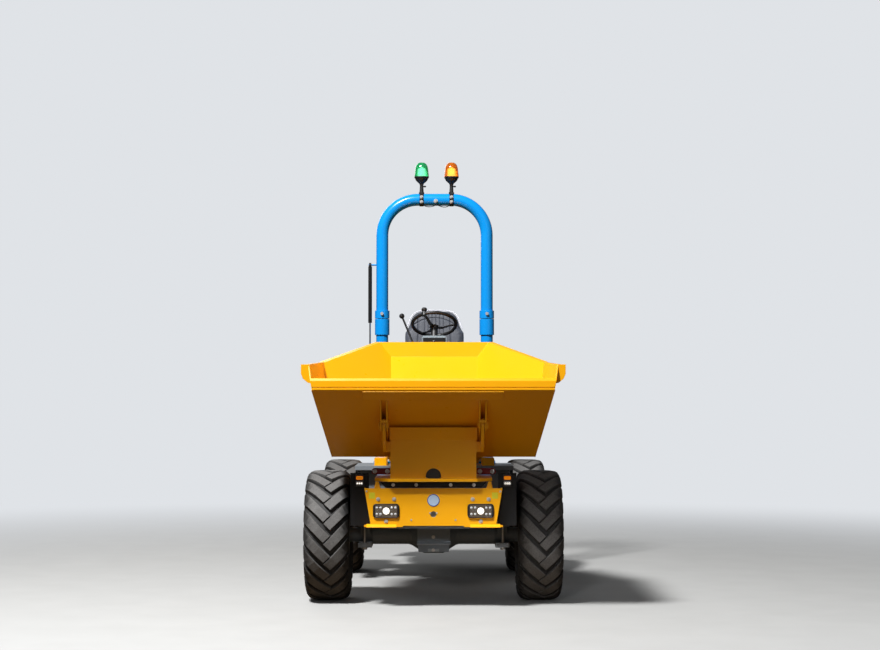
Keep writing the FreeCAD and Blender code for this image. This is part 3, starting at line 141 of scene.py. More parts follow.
add_lamp("key", (-3.2, -6.1, 9.6), (0.0, -0.6, 1.0), 1.4, 2050.0)
add_lamp("fill", (5.0, -9.0, 3.4), (0.0, 0.0, 0.9), 5.0, 30.0)
for lamp_aim, lamp_power, lamp_spread in (
        ((-0.68, -1.25, 0.36), 40.0, 8.0), ((0.68, -1.25, 0.36), 620.0, 8.0), ((0.0, -1.1, 0.25), 220.0, 8.0)):
    wheel_lamp = bpy.data.objects.new("wheel_lamp", bpy.data.lights.new("wheel_lamp", "SPOT"))
    wheel_lamp.data.energy = lamp_power
    wheel_lamp.data.spot_size = math.radians(lamp_spread)
    wheel_lamp.data.spot_blend = 0.8
    wheel_lamp.data.shadow_soft_size = 0.5
    wheel_lamp.location = (-1.0, -9.0, 2.6)
    wheel_lamp.rotation_euler = (Vector(lamp_aim) - wheel_lamp.location).to_track_quat("-Z", "Y").to_euler()
    scene.collection.objects.link(wheel_lamp)
add_lamp("rim", (-3.0, 7.0, 5.0), (0.0, 0.0, 1.2), 4.0, 130.0)

# Skip, tower, panel and bonnet: welded plate, shot-blasted and sprayed a warm yellow. The coat has a
# faint orange peel, goes a little thin and pale along its edges, and collects road dust low down.
paint_yellow = (0.93, 0.42, 0.002)
paint_dust = (0.30, 0.24, 0.17)


def new_group(name, takes, gives):
    """An empty shader group with named float, colour or normal sockets."""
    group = bpy.data.node_groups.new(name, "ShaderNodeTree")
    for label, kind, value in takes:
        socket = group.interface.new_socket(label, in_out="INPUT", socket_type="NodeSocket" + kind)
        socket.default_value = value
    for label, kind in gives:
        group.interface.new_socket(label, in_out="OUTPUT", socket_type="NodeSocket" + kind)
    return group, group.nodes.new("NodeGroupInput"), group.nodes.new("NodeGroupOutput")


def put(tree, kind, settings=None, **values):
    """A node in a tree, its settings set and its inputs given a value or a link from a socket."""
    node = tree.nodes.new(kind)
    for label, setting in (settings or {}).items():
        setattr(node, label, setting)
    for label, value in values.items():
        socket = node.inputs[int(label[2:])] if label.startswith("in") else node.inputs[label.replace("_", " ")]
        if isinstance(value, bpy.types.NodeSocket):
            tree.links.new(value, socket)
        else:
            socket.default_value = value
    return node


def math_of(tree, operation, first, second=0.0, clamp=False):
    """One sum in a tree; gives its result socket."""
    return put(tree, "ShaderNodeMath", {"operation": operation, "use_clamp": clamp}, in0=first, in1=second).outputs[0]


def mix_of(tree, factor, first, second):
    """A colour between two, by a mask; gives its result socket."""
    node = put(tree, "ShaderNodeMix", {"data_type": "RGBA"}, in0=factor, in6=first, in7=second)
    return node.outputs[2]


def worn_edge_group():
    """A mask that is 1 along outside edges and 0 on flat faces, broken up by a little noise."""
    group, given, result = new_group(
        "worn_edge", [("Width", "Float", 0.004), ("Break", "Float", 40.0)], [("Mask", "Float")])
    place = put(group, "ShaderNodeTexCoord").outputs["Object"]
    rounded = put(group, "ShaderNodeBevel", {"samples": 4}, Radius=given.outputs["Width"])
    true_normal = put(group, "ShaderNodeNewGeometry").outputs["True Normal"]
    turned = put(group, "ShaderNodeVectorMath", {"operation": "DOT_PRODUCT"}, in0=rounded.outputs[0], in1=true_normal)
    edge = math_of(group, "MULTIPLY", math_of(group, "SUBTRACT", 1.0, turned.outputs["Value"]), 6.0, clamp=True)
    spots = put(group, "ShaderNodeTexNoise", Vector=place, Scale=given.outputs["Break"], Detail=4.0)
    broken = math_of(group, "MULTIPLY", math_of(group, "SUBTRACT", spots.outputs["Fac"], 0.42), 5.0, clamp=True)
    group.links.new(math_of(group, "MULTIPLY", edge, broken), result.inputs["Mask"])
    return group


def road_dust_group():
    """A mask for dust: heavy near the ground, thin and patchy above."""
    group, given, result = new_group(
        "road_dust", [("Top", "Float", 0.9), ("Amount", "Float", 0.4)], [("Mask", "Float")])
    place = put(group, "ShaderNodeTexCoord").outputs["Object"]
    height = put(group, "ShaderNodeSeparateXYZ", in0=place).outputs["Z"]
    share = math_of(group, "DIVIDE", height, given.outputs["Top"])
    low = math_of(group, "SUBTRACT", 1.0, share, clamp=True)
    cloud = put(group, "ShaderNodeTexNoise", Vector=place, Scale=5.0, Detail=8.0, Roughness=0.62)
    patch = math_of(group, "MULTIPLY", math_of(group, "SUBTRACT", cloud.outputs["Fac"], 0.25), 1.8, clamp=True)
    spread = math_of(group, "MULTIPLY", math_of(group, "ADD", low, 0.10), patch)
    group.links.new(math_of(group, "MULTIPLY", spread, given.outputs["Amount"], clamp=True), result.inputs["Mask"])
    return group


def sprayed_coat_group(worn_edge, road_dust):
    """Colour, gloss and surface of a sprayed coat, from its own colour and how dusty and worn it is."""
    group, given, result = new_group(
        "sprayed_coat",
        [("Colour", "Color", (1, 1, 1, 1)), ("Edge Colour", "Color", (1, 1, 1, 1)), ("Dust Colour", "Color", (1, 1, 1, 1)),
         ("Edge Amount", "Float", 0.3), ("Dust Top", "Float", 0.9), ("Dust Amount", "Float", 0.4),
         ("Gloss Roughness", "Float", 0.28), ("Peel", "Float", 0.05)],
        [("Colour", "Color"), ("Roughness", "Float"), ("Normal", "Vector")])
    place = put(group, "ShaderNodeTexCoord").outputs["Object"]
    edge = put(group, "ShaderNodeGroup", {"node_tree": worn_edge}, Width=0.004, Break=60.0).outputs[0]
    dust = put(group, "ShaderNodeGroup", {"node_tree": road_dust}, Top=given.outputs["Dust Top"],
               Amount=given.outputs["Dust Amount"]).outputs[0]
    tone = put(group, "ShaderNodeTexNoise", Vector=place, Scale=1.7, Detail=3.0)
    shade = math_of(group, "ADD", math_of(group, "MULTIPLY", tone.outputs["Fac"], 0.12), 0.93)
    toned = put(group, "ShaderNodeVectorMath", {"operation": "SCALE"}, in0=given.outputs["Colour"], Scale=shade)
    with_edge = mix_of(group, math_of(group, "MULTIPLY", edge, given.outputs["Edge Amount"]),
                       toned.outputs[0], given.outputs["Edge Colour"])
    with_dust = mix_of(group, dust, with_edge, given.outputs["Dust Colour"])
    group.links.new(with_dust, result.inputs["Colour"])
    smear = put(group, "ShaderNodeTexNoise", Vector=place, Scale=14.0, Detail=5.0)
    uneven = math_of(group, "MULTIPLY", math_of(group, "SUBTRACT", smear.outputs["Fac"], 0.5), 0.14)
    dulled = math_of(group, "MULTIPLY", dust, 0.5)
    base = math_of(group, "ADD", given.outputs["Gloss Roughness"], uneven)
    group.links.new(math_of(group, "ADD", base, dulled, clamp=True), result.inputs["Roughness"])
    soft_edge = put(group, "ShaderNodeBevel", {"samples": 4}, Radius=0.003)
    peel = put(group, "ShaderNodeTexNoise", Vector=place, Scale=260.0, Detail=2.0)
    surface = put(group, "ShaderNodeBump", Strength=given.outputs["Peel"], Distance=0.002,
                  Height=peel.outputs["Fac"], Normal=soft_edge.outputs[0])
    group.links.new(surface.outputs[0], result.inputs["Normal"])
    return group


worn_edge = worn_edge_group()
road_dust = road_dust_group()
sprayed_coat = sprayed_coat_group(worn_edge, road_dust)


def new_finish(name):
    """A node material with its shader, tree and object coordinates."""
    finish = bpy.data.materials.new(name)
    finish.use_nodes = True
    tree = finish.node_tree
    return finish, tree, tree.nodes["Principled BSDF"]


def sprayed_paint(name, colour, edge_colour, edge=0.25, dust_top=0.9, dust=0.3, gloss=0.30, peel=0.05, coat=0.08, shine=0.35):
    """A paint finish made with the sprayed coat."""
    finish, tree, shader = new_finish(name)
    coat_node = put(
        tree, "ShaderNodeGroup", {"node_tree": sprayed_coat}, Colour=(*colour, 1.0), Edge_Colour=(*edge_colour, 1.0),
        Dust_Colour=(*paint_dust, 1.0), Edge_Amount=edge, Dust_Top=dust_top, Dust_Amount=dust,
        Gloss_Roughness=gloss, Peel=peel)
    tree.links.new(coat_node.outputs["Colour"], shader.inputs["Base Color"])
    tree.links.new(coat_node.outputs["Roughness"], shader.inputs["Roughness"])
    tree.links.new(coat_node.outputs["Normal"], shader.inputs["Normal"])
    shader.inputs["Coat Weight"].default_value = coat
    shader.inputs["Coat Roughness"].default_value = 0.12
    shader.inputs["Specular IOR Level"].default_value = shine
    return finish


def finish_nodes(finish, *names):
    """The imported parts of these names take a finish."""
    for name in names:
        part = nodes[name]
        part.data.materials.clear()
        part.data.materials.append(finish)


yellow = sprayed_paint("yellow_gloss", paint_yellow, (1.0, 0.55, 0.03), edge=0.35, dust=0.06)
finish_nodes(yellow, "front_panel", "pedestal", "skip", "side_boxes", "bonnet", "seat_base")

# Frames of both halves, axles and centre pivot: welded boxes, castings and forgings in a dark slate
# paint, with grease and dust on them.
slate = sprayed_paint("axle_slate", (0.170, 0.215, 0.265), (0.36, 0.40, 0.44), edge=0.3, dust_top=0.75, dust=0.25,
                      gloss=0.42, peel=0.12, coat=0.1)
finish_nodes(slate, "front_chassis", "rear_chassis", "front_axle", "rear_axle", "pivot_block")

# Small bought-in steelwork in black powder coat: guards, cylinder barrels, grille, steps, seat pan.
black_coat = sprayed_paint("black_powder_coat", (0.008, 0.008, 0.009), (0.08, 0.08, 0.08), edge=0.25, dust_top=0.9,
                           dust=0.02, gloss=0.45, peel=0.2, coat=0.0, shine=0.25)
finish_nodes(black_coat, "front_guards", "tip_barrel", "steer_barrel", "strut_barrel", "bonnet_grille", "steps",
             "seat_frame")

# Cast weight at the tail and the engine behind it: dark grey iron with a sandy skin.
iron = sprayed_paint("cast_iron_grey", (0.035, 0.037, 0.04), (0.12, 0.12, 0.12), edge=0.3, dust_top=0.9, dust=0.4,
                     gloss=0.5, peel=0.5, coat=0.0)
finish_nodes(iron, "counterweight", "engine")

# Brackets on both sides of the turntable, in a dark red.
dark_red = sprayed_paint("bracket_red", (0.24, 0.006, 0.008), (0.35, 0.06, 0.05), edge=0.3, dust_top=1.2, dust=0.3)
finish_nodes(dark_red, "slew_brackets")

# Operator's floor and the two tanks under it, in light grey.
light_grey = sprayed_paint(
    "platform_grey", (0.21, 0.235, 0.26), (0.45, 0.47, 0.49), edge=0.3, dust_top=0.95, dust=0.3)
finish_nodes(light_grey, "platform", "tanks")


def tread_plate(finish, pitch):
    """Raised oval bars in a basket pattern over level faces of a painted plate, worn bright on top."""
    tree = finish.node_tree
    shader = tree.nodes["Principled BSDF"]
    spot = put(tree, "ShaderNodeSeparateXYZ", in0=put(tree, "ShaderNodeTexCoord").outputs["Object"])
    rows = []
    for sign in (1.0, -1.0):
        diagonal = math_of(tree, "ADD", spot.outputs["X"], math_of(tree, "MULTIPLY", spot.outputs["Y"], sign))
        rows.append(math_of(tree, "DIVIDE", diagonal, pitch * math.sqrt(2.0)))
    cells = [math_of(tree, "SUBTRACT", math_of(tree, "FRACT", row), 0.5) for row in rows]
    counts = math_of(tree, "ADD", math_of(tree, "FLOOR", rows[0]), math_of(tree, "FLOOR", rows[1]))
    odd = math_of(tree, "GREATER_THAN", math_of(tree, "FRACT", math_of(tree, "MULTIPLY", counts, 0.5)), 0.25)
    bars = []
    for along, across in ((0, 1), (1, 0)):
        long_way = math_of(tree, "MULTIPLY", cells[along], 2.3)
        short_way = math_of(tree, "MULTIPLY", cells[across], 8.0)
        squares = math_of(tree, "ADD", math_of(tree, "MULTIPLY", long_way, long_way),
                          math_of(tree, "MULTIPLY", short_way, short_way))
        bars.append(math_of(tree, "MULTIPLY", math_of(tree, "SUBTRACT", 1.0, squares), 2.5, clamp=True))
    lift = put(tree, "ShaderNodeMix", {"data_type": "FLOAT"}, in0=odd, in2=bars[0], in3=bars[1]).outputs[0]
    upward = put(tree, "ShaderNodeSeparateXYZ", in0=put(tree, "ShaderNodeNewGeometry").outputs["Normal"]).outputs["Z"]
    level = math_of(tree, "GREATER_THAN", upward, 0.9)
    shown = math_of(tree, "MULTIPLY", lift, level)
    plain_colour = shader.inputs["Base Color"].links[0].from_socket
    plain_normal = shader.inputs["Normal"].links[0].from_socket
    tree.links.new(mix_of(tree, math_of(tree, "MULTIPLY", shown, 0.45), plain_colour, (0.42, 0.42, 0.41, 1.0)),
                   shader.inputs["Base Color"])
    raised = put(tree, "ShaderNodeBump", Strength=0.9, Distance=0.003, Height=shown, Normal=plain_normal)
    tree.links.new(raised.outputs[0], shader.inputs["Normal"])


tread_plate(light_grey, 0.030)

# Roll hoop in two parts, bent from steel tube and sprayed a clear bright blue.
hoop_blue = sprayed_paint("hoop_blue", (0.002, 0.27, 0.74), (0.06, 0.42, 0.82), edge=0.2, dust_top=1.2, dust=0.1,
                          gloss=0.24)
finish_nodes(hoop_blue, "hoop_lower", "hoop_upper")

# Wheel rims in a light grey paint.
rim_grey = sprayed_paint("rim_grey", (0.40, 0.41, 0.42), (0.60, 0.60, 0.60), edge=0.35, dust_top=0.9, dust=0.55)
finish_nodes(rim_grey, "rim_front_left", "rim_front_right", "rim_rear_left", "rim_rear_right")


# Ground steel: hard chrome on the cylinder rods, zinc on pins, bolts, the slew ring and the exhaust.
def bare_steel(name, colour, roughness, grain, metallic=1.0):
    """Metal with fine drawn lines and slight tarnish."""
    finish, tree, shader = new_finish(name)
    place = put(tree, "ShaderNodeTexCoord").outputs["Object"]
    cloud = put(tree, "ShaderNodeTexNoise", Vector=place, Scale=22.0, Detail=6.0)
    tarnish = mix_of(tree, math_of(tree, "MULTIPLY", cloud.outputs["Fac"], 0.45), (*colour, 1.0),
                     (colour[0] * 0.55, colour[1] * 0.5, colour[2] * 0.45, 1.0))
    tree.links.new(tarnish, shader.inputs["Base Color"])
    uneven = math_of(tree, "ADD", math_of(tree, "MULTIPLY", cloud.outputs["Fac"], 0.2), roughness - 0.1, clamp=True)
    tree.links.new(uneven, shader.inputs["Roughness"])
    shader.inputs["Metallic"].default_value = metallic
    lines = put(tree, "ShaderNodeTexNoise", Vector=place, Scale=grain, Detail=3.0)
    surface = put(tree, "ShaderNodeBump", Strength=0.12, Distance=0.001, Height=lines.outputs["Fac"])
    tree.links.new(surface.outputs[0], shader.inputs["Normal"])
    return finish


chrome = bare_steel("rod_chrome", (0.72, 0.73, 0.74), 0.14, 400.0)
zinc = bare_steel("zinc_plate", (0.66, 0.66, 0.65), 0.38, 180.0, 0.55)
finish_nodes(chrome, "tip_rod", "steer_rod", "strut_rod")
finish_nodes(zinc, "slew_ring", "exhaust")

# Tyres: 11.5 in wide traction tyres, a ribbed carcass with twenty long rubber bars a side that meet
# in a V at the middle, its tip pointing down at the front. The bars' tops are scuffed and dusty.
tyre_centres = {
    "tyre_front_left": (0.687, -0.95), "tyre_front_right": (-0.687, -0.95),
    "tyre_rear_left": (0.687, 0.95), "tyre_rear_right": (-0.687, 0.95)}
axle_height = 0.4225
lug_pairs = 20
lug_half_width = 0.0285
lug_draft = 0.006
carcass_steps = 112
carcass_half = [  # across the tread, then out from the middle of the wheel
    (0.000, 0.3965), (0.060, 0.3955), (0.104, 0.3900), (0.124, 0.3800), (0.1345, 0.3640), (0.1385, 0.3560),
    (0.1395, 0.3545), (0.1425, 0.3380), (0.1445, 0.3170), (0.1440, 0.2990), (0.1425, 0.2880), (0.1445, 0.2860),
    (0.1435, 0.2790), (0.1405, 0.2770), (0.1380, 0.2640), (0.1390, 0.2620), (0.1370, 0.2560), (0.1345, 0.2545),
    (0.1290, 0.2380), (0.1240, 0.2290), (0.1190, 0.2200), (0.1167, 0.2175)]
carcass_inside = [(0.100, 0.2160), (0.098, 0.2300), (0.112, 0.2900), (0.112, 0.3500), (0.080, 0.3740), (0.0, 0.3800)]
lug_tips = {-1: -0.006, 1: 0.008}  # where the middle of a bar's squared end stands, out from the tread's middle
lug_line = [  # across the tread, round the tread, width factor, tilt of the section from upright
    (0.020, 0.026, 1.00, 1.00), (0.056, 0.062, 1.00, 1.00), (0.092, 0.101, 1.02, 1.00),
    (0.116, 0.130, 1.06, 0.80), (0.132, 0.150, 1.20, 0.40), (0.1400, 0.164, 1.36, 0.10), (0.1440, 0.176, 1.42, 0.0)]
lug_top = [(0.0, 0.4225), (0.0725, 0.4225), (0.104, 0.4180), (0.123, 0.4095), (0.134, 0.3960), (0.141, 0.3800),
           (0.1448, 0.3600)]
lug_foot = [(0.0, 0.3930), (0.072, 0.3920), (0.100, 0.3870), (0.120, 0.3780), (0.131, 0.3640), (0.137, 0.3500),
            (0.1385, 0.3420)]


def read_line(points, where):
    """The height of a broken line at a place along it."""
    for (x0, y0), (x1, y1) in zip(points, points[1:]):
        if where <= x1:
            share = max(0.0, (where - x0) / (x1 - x0))
            return y0 + (y1 - y0) * share
    return points[-1][1]


def mesh_object(name, mesh):
    """A new object in the scene, at the origin, around a mesh or a bmesh."""
    if isinstance(mesh, bmesh.types.BMesh):
        built = bpy.data.meshes.new(name)
        mesh.to_mesh(built)
        mesh.free()
        mesh = built
    piece = bpy.data.objects.new(name, mesh)
    scene.collection.objects.link(piece)
    return piece


def spin_ring(shape, points, steps, centre, axis="X"):
    """Adds a closed ring to a bmesh: points along and out from the axis, turned about it."""
    rings = []
    for step in range(steps):
        angle = math.tau * step / steps
        ring = []
        for along, out in points:
            first, second = out * math.cos(angle), out * math.sin(angle)
            place = {"X": (along, first, second), "Y": (first, along, second), "Z": (first, second, along)}[axis]
            ring.append(shape.verts.new(Vector(centre) + Vector(place)))
        rings.append(ring)
    for ring, following in zip(rings, rings[1:] + rings[:1]):
        for i in range(len(points)):
            j = (i + 1) % len(points)
            shape.faces.new((ring[i], ring[j], following[j], following[i]))
    return shape


def smooth(piece, angle=35.0):
    """Smooth shading, kept sharp at edges over an angle."""
    for face in piece.data.polygons:
        face.use_smooth = True
    piece.data.set_sharp_from_angle(angle=math.radians(angle))
    return piece


def tread_bar(side):
    """One rubber bar at the front of a wheel centred on the origin; side is 1 for +X, -1 for -X."""
    bar = bmesh.new()
    sections = []
    tip = lug_tips[side]
    first = (tip, lug_line[0][1] + tip - lug_line[0][0], 1.00, 1.00)
    for across, around, width, tilt in [first] + lug_line:
        slant = Vector((-0.72 * tilt, 0.70 + 0.30 * (1.0 - tilt)))
        section = []
        for edge, lift in ((1, 0), (1, 1), (-1, 1), (-1, 0)):
            reach = lug_half_width * width + (0.0 if lift else lug_draft)
            x = min(across + slant.x * reach * edge, 0.1448)
            turn = (around + slant.y * reach * edge) / axle_height
            radius = read_line(lug_top if lift else lug_foot, abs(x))
            x = x if lift else min(x, read_line([(0.0, 0.0), (0.13, 0.13), (0.16, 0.1385)], max(x, 0.0)) if x > 0 else x)
            section.append(bar.verts.new((side * x, -radius * math.cos(turn), radius * math.sin(turn))))
        sections.append(section)
    for section, following in zip(sections, sections[1:]):
        for i in range(4):
            j = (i + 1) % 4
            bar.faces.new((section[i], section[j], following[j], following[i]))
    bar.faces.new(sections[0])
    bar.faces.new(sections[-1][::-1])
    bmesh.ops.recalc_face_normals(bar, faces=bar.faces)
    return bar


def wheel_round_tree():
    """Copies of what it is given, evenly turned about a line along X through a centre."""
    tree = bpy.data.node_groups.new("wheel_round", "GeometryNodeTree")
    tree.interface.new_socket("Piece", in_out="INPUT", socket_type="NodeSocketGeometry")
    tree.interface.new_socket("Count", in_out="INPUT", socket_type="NodeSocketInt")
    tree.interface.new_socket("Centre", in_out="INPUT", socket_type="NodeSocketVector")
    tree.interface.new_socket("Finish", in_out="INPUT", socket_type="NodeSocketMaterial")
    tree.interface.new_socket("Piece", in_out="OUTPUT", socket_type="NodeSocketGeometry")
    given = tree.nodes.new("NodeGroupInput").outputs
    points = put(tree, "GeometryNodePoints", Count=given["Count"], Position=given["Centre"])
    number = put(tree, "GeometryNodeInputIndex").outputs[0]
    turn = math_of(tree, "DIVIDE", math_of(tree, "MULTIPLY", number, math.tau), given["Count"])
    turned = put(tree, "ShaderNodeCombineXYZ", X=turn)
    copies = put(tree, "GeometryNodeInstanceOnPoints", Points=points.outputs[0], Instance=given["Piece"],
                 Rotation=turned.outputs[0])
    real = put(tree, "GeometryNodeRealizeInstances", Geometry=copies.outputs[0])
    painted = put(tree, "GeometryNodeSetMaterial", Geometry=real.outputs[0], Material=given["Finish"])
    tree.links.new(painted.outputs[0], tree.nodes.new("NodeGroupOutput").inputs[0])
    return tree


def grow(piece, tree, **values):
    """Runs a Geometry Nodes tree on a piece and keeps the result as its plain mesh."""
    modifier = piece.modifiers.new("grow", "NODES")
    modifier.node_group = tree
    sockets = {item.name: item.identifier for item in tree.interface.items_tree if item.in_out == "INPUT"}
    for label, value in values.items():
        modifier[sockets[label.replace("_", " ")]] = value
    bpy.context.view_layer.update()
    evaluated = piece.evaluated_get(bpy.context.evaluated_depsgraph_get())
    mesh = bpy.data.meshes.new_from_object(evaluated)
    piece.modifiers.remove(modifier)
    piece.data = mesh
    return piece


def join(name, *pieces):
    """One object with the meshes of several, each face keeping its own finish."""
    finishes = []
    shape = bmesh.new()
    for piece in pieces:
        before = len(shape.faces)
        shape.from_mesh(piece.data)
        shape.faces.ensure_lookup_table()
        own = list(piece.data.materials)
        for face in shape.faces[before:]:
            finish = own[face.material_index]
            if finish not in finishes:
                finishes.append(finish)
            face.material_index = finishes.index(finish)
        bpy.data.objects.remove(piece)
    whole = mesh_object(name, shape)
    for finish in finishes:
        whole.data.materials.append(finish)
    return whole


def dusty_rubber():
    """Black rubber gone grey-brown with dust, more so on what stands proud."""
    finish, tree, shader = new_finish("tyre_rubber")
    place = put(tree, "ShaderNodeTexCoord").outputs["Object"]
    edge = put(tree, "ShaderNodeGroup", {"node_tree": worn_edge}, Width=0.006, Break=30.0).outputs[0]
    cloud = put(tree, "ShaderNodeTexNoise", Vector=place, Scale=9.0, Detail=8.0, Roughness=0.65)
    grit = put(tree, "ShaderNodeTexNoise", Vector=place, Scale=130.0, Detail=4.0)
    patch = math_of(tree, "MULTIPLY", math_of(tree, "SUBTRACT", cloud.outputs["Fac"], 0.36), 2.4, clamp=True)
    speck = math_of(tree, "MULTIPLY", math_of(tree, "SUBTRACT", grit.outputs["Fac"], 0.30), 1.6, clamp=True)
    spot = put(tree, "ShaderNodeSeparateXYZ", in0=place)
    forward = math_of(tree, "SUBTRACT", math_of(tree, "ABSOLUTE", spot.outputs["Y"]), tyre_centres["tyre_rear_left"][1])
    upward = math_of(tree, "SUBTRACT", spot.outputs["Z"], axle_height)
    squares = math_of(tree, "ADD", math_of(tree, "MULTIPLY", forward, forward), math_of(tree, "MULTIPLY", upward, upward))
    crest = put(tree, "ShaderNodeMapRange", Value=math_of(tree, "SQRT", squares), From_Min=0.402, From_Max=0.419).outputs[0]
    dusty = mix_of(tree, math_of(tree, "MULTIPLY", patch, speck), (0.026, 0.0255, 0.0255, 1.0), (0.085, 0.083, 0.080, 1.0))
    worn = mix_of(tree, math_of(tree, "MULTIPLY", crest, math_of(tree, "ADD", math_of(tree, "MULTIPLY", speck, 0.5), 0.4)),
                  dusty, (0.185, 0.180, 0.175, 1.0))
    scuffed = mix_of(tree, math_of(tree, "MULTIPLY", edge, 0.35), worn, (0.19, 0.18, 0.17, 1.0))
    tree.links.new(scuffed, shader.inputs["Base Color"])
    tree.links.new(math_of(tree, "ADD", math_of(tree, "MULTIPLY", patch, 0.22), 0.62), shader.inputs["Roughness"])
    soft_edge = put(tree, "ShaderNodeBevel", {"samples": 4}, Radius=0.005)
    surface = put(tree, "ShaderNodeBump", Strength=0.35, Distance=0.002, Height=grit.outputs["Fac"],
                  Normal=soft_edge.outputs[0])
    tree.links.new(surface.outputs[0], shader.inputs["Normal"])
    shader.inputs["Specular IOR Level"].default_value = 0.35
    return finish


rubber = dusty_rubber()
wheel_round = wheel_round_tree()
for name, (wheel_x, wheel_y) in tyre_centres.items():
    centre = Vector((wheel_x, wheel_y, axle_height))
    mirrored = [(-x, r) for x, r in reversed(carcass_half[1:])]
    outside = mirrored + carcass_half
    inside = carcass_inside + [(-x, r) for x, r in reversed(carcass_inside[:-1])]
    carcass = mesh_object("carcass", spin_ring(bmesh.new(), outside + inside, carcass_steps, centre))
    cleaned = bmesh.new()
    cleaned.from_mesh(carcass.data)
    bmesh.ops.recalc_face_normals(cleaned, faces=cleaned.faces)
    cleaned.to_mesh(carcass.data)
    cleaned.free()
    carcass.data.materials.append(rubber)
    smooth(carcass, 50.0)
    bars = []
    for side, start in ((-1, 0.0), (1, -math.pi / lug_pairs)):
        bar = tread_bar(side)
        bmesh.ops.rotate(bar, verts=bar.verts, cent=(0, 0, 0), matrix=Matrix.Rotation(start, 3, "X"))
        bars.append(grow(mesh_object("bar", bar), wheel_round, Count=lug_pairs, Centre=centre, Finish=rubber))
    tyre = join("dressed_" + name, carcass, *bars)
    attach(tyre, "wheel_" + name[5:])
    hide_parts(name)

# Turntable bolts, panel screws and guard screws: zinc-plated hexagon heads on washers. Each set is
# one bolt copied to its places.
def hex_bolt(radius, height, washer=1.75):
    """A hexagon head on a washer, standing up along Z from the surface it is driven into."""
    bolt = bmesh.new()
    spin_ring(bolt, [(-0.0005, 0.0), (-0.0005, radius * washer), (height * 0.22, radius * washer),
                     (height * 0.28, radius * (washer - 0.08)), (height * 0.28, 0.0)][1:4], 20, (0, 0, 0), "Z")
    bmesh.ops.contextual_create(bolt, geom=[v for v in bolt.verts if v.co.z > height * 0.27])
    levels = []
    for level, scale in ((0.2, 1.12), (0.82, 1.12), (1.0, 0.96)):
        levels.append([bolt.verts.new((radius * 1.02 * scale * math.cos(math.tau * k / 6),
                                       radius * 1.02 * scale * math.sin(math.tau * k / 6), height * level))
                       for k in range(6)])
    for low, high in zip(levels, levels[1:]):
        for k in range(6):
            bolt.faces.new((low[k], low[(k + 1) % 6], high[(k + 1) % 6], high[k]))
    bolt.faces.new(levels[-1])
    bolt.faces.new(levels[0][::-1])
    bmesh.ops.recalc_face_normals(bolt, faces=bolt.faces)
    return bolt


def set_at_places_tree():
    """One fitting copied to each point it is given, turned to face the way of its surface."""
    tree = bpy.data.node_groups.new("set_at_places", "GeometryNodeTree")
    tree.interface.new_socket("Places", in_out="INPUT", socket_type="NodeSocketGeometry")
    tree.interface.new_socket("Fitting", in_out="INPUT", socket_type="NodeSocketObject")
    tree.interface.new_socket("Turn", in_out="INPUT", socket_type="NodeSocketVector")
    tree.interface.new_socket("Finish", in_out="INPUT", socket_type="NodeSocketMaterial")
    tree.interface.new_socket("Places", in_out="OUTPUT", socket_type="NodeSocketGeometry")
    given = tree.nodes.new("NodeGroupInput").outputs
    fitting = put(tree, "GeometryNodeObjectInfo", Object=given["Fitting"]).outputs["Geometry"]
    copies = put(tree, "GeometryNodeInstanceOnPoints", Points=given["Places"], Instance=fitting,
                 Rotation=given["Turn"])
    real = put(tree, "GeometryNodeRealizeInstances", Geometry=copies.outputs[0])
    painted = put(tree, "GeometryNodeSetMaterial", Geometry=real.outputs[0], Material=given["Finish"])
    tree.links.new(painted.outputs[0], tree.nodes.new("NodeGroupOutput").inputs[0])
    return tree


set_at_places = set_at_places_tree()
faces_front = (math.radians(90.0), 0.0, 0.0)
faces_back = (math.radians(-90.0), 0.0, 0.0)
faces_left = (0.0, math.radians(90.0), 0.0)
faces_right = (0.0, math.radians(-90.0), 0.0)
faces_up = (0.0, 0.0, 0.0)
faces_down = (math.radians(180.0), 0.0, 0.0)


def fasten(name, fitting, places, turn, finish, body):
    """One fitting at several places on a body; the fitting's own mesh is used up."""
    pattern = mesh_object(name + "_pattern", fitting)
    points = bpy.data.meshes.new(name)
    points.from_pydata([tuple(place) for place in places], [], [])
    row = grow(mesh_object(name, points), set_at_places, Fitting=pattern, Turn=turn, Finish=finish)
    bpy.data.objects.remove(pattern)
    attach(row, body)
    return row


def mirrored_places(*places):
    """Each place and its twin on the other side."""
    return [place for x, y, z in places for place in ((x, y, z), (-x, y, z))]


panel_face_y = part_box("front_panel")[0].y
fasten("panel_bolts", hex_bolt(0.0072, 0.008), mirrored_places(
    (0.345, panel_face_y, 0.6895), (0.245, panel_face_y, 0.6895), (0.2955, panel_face_y, 0.552)),
    faces_front, zinc, "front")
fasten("panel_rivets", hex_bolt(0.0035, 0.004), mirrored_places(
    (0.020, panel_face_y, 0.603), (0.138, panel_face_y, 0.560), (0.418, panel_face_y, 0.738)),
    faces_front, zinc, "front")
guard_face_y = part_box("front_chassis")[0].y
fasten("guard_bolts", hex_bolt(0.0065, 0.007), mirrored_places(
    (0.252, guard_face_y, 0.778), (0.108, guard_face_y, 0.778)), faces_front, zinc, "front")

# Round badge place and two small square label places on the front panel: all left without any mark,
# an enamelled disc with a blue ring, and two yellow-green foils.
badge_at = Vector((0.0, panel_face_y, 0.683))
badge_rings = [("badge_blue", 0.0390, 0.0340), ("badge_white", 0.0342, 0.0)]
label_half = 0.019
label_places = ((-0.384, 0.712), (0.384, 0.712))


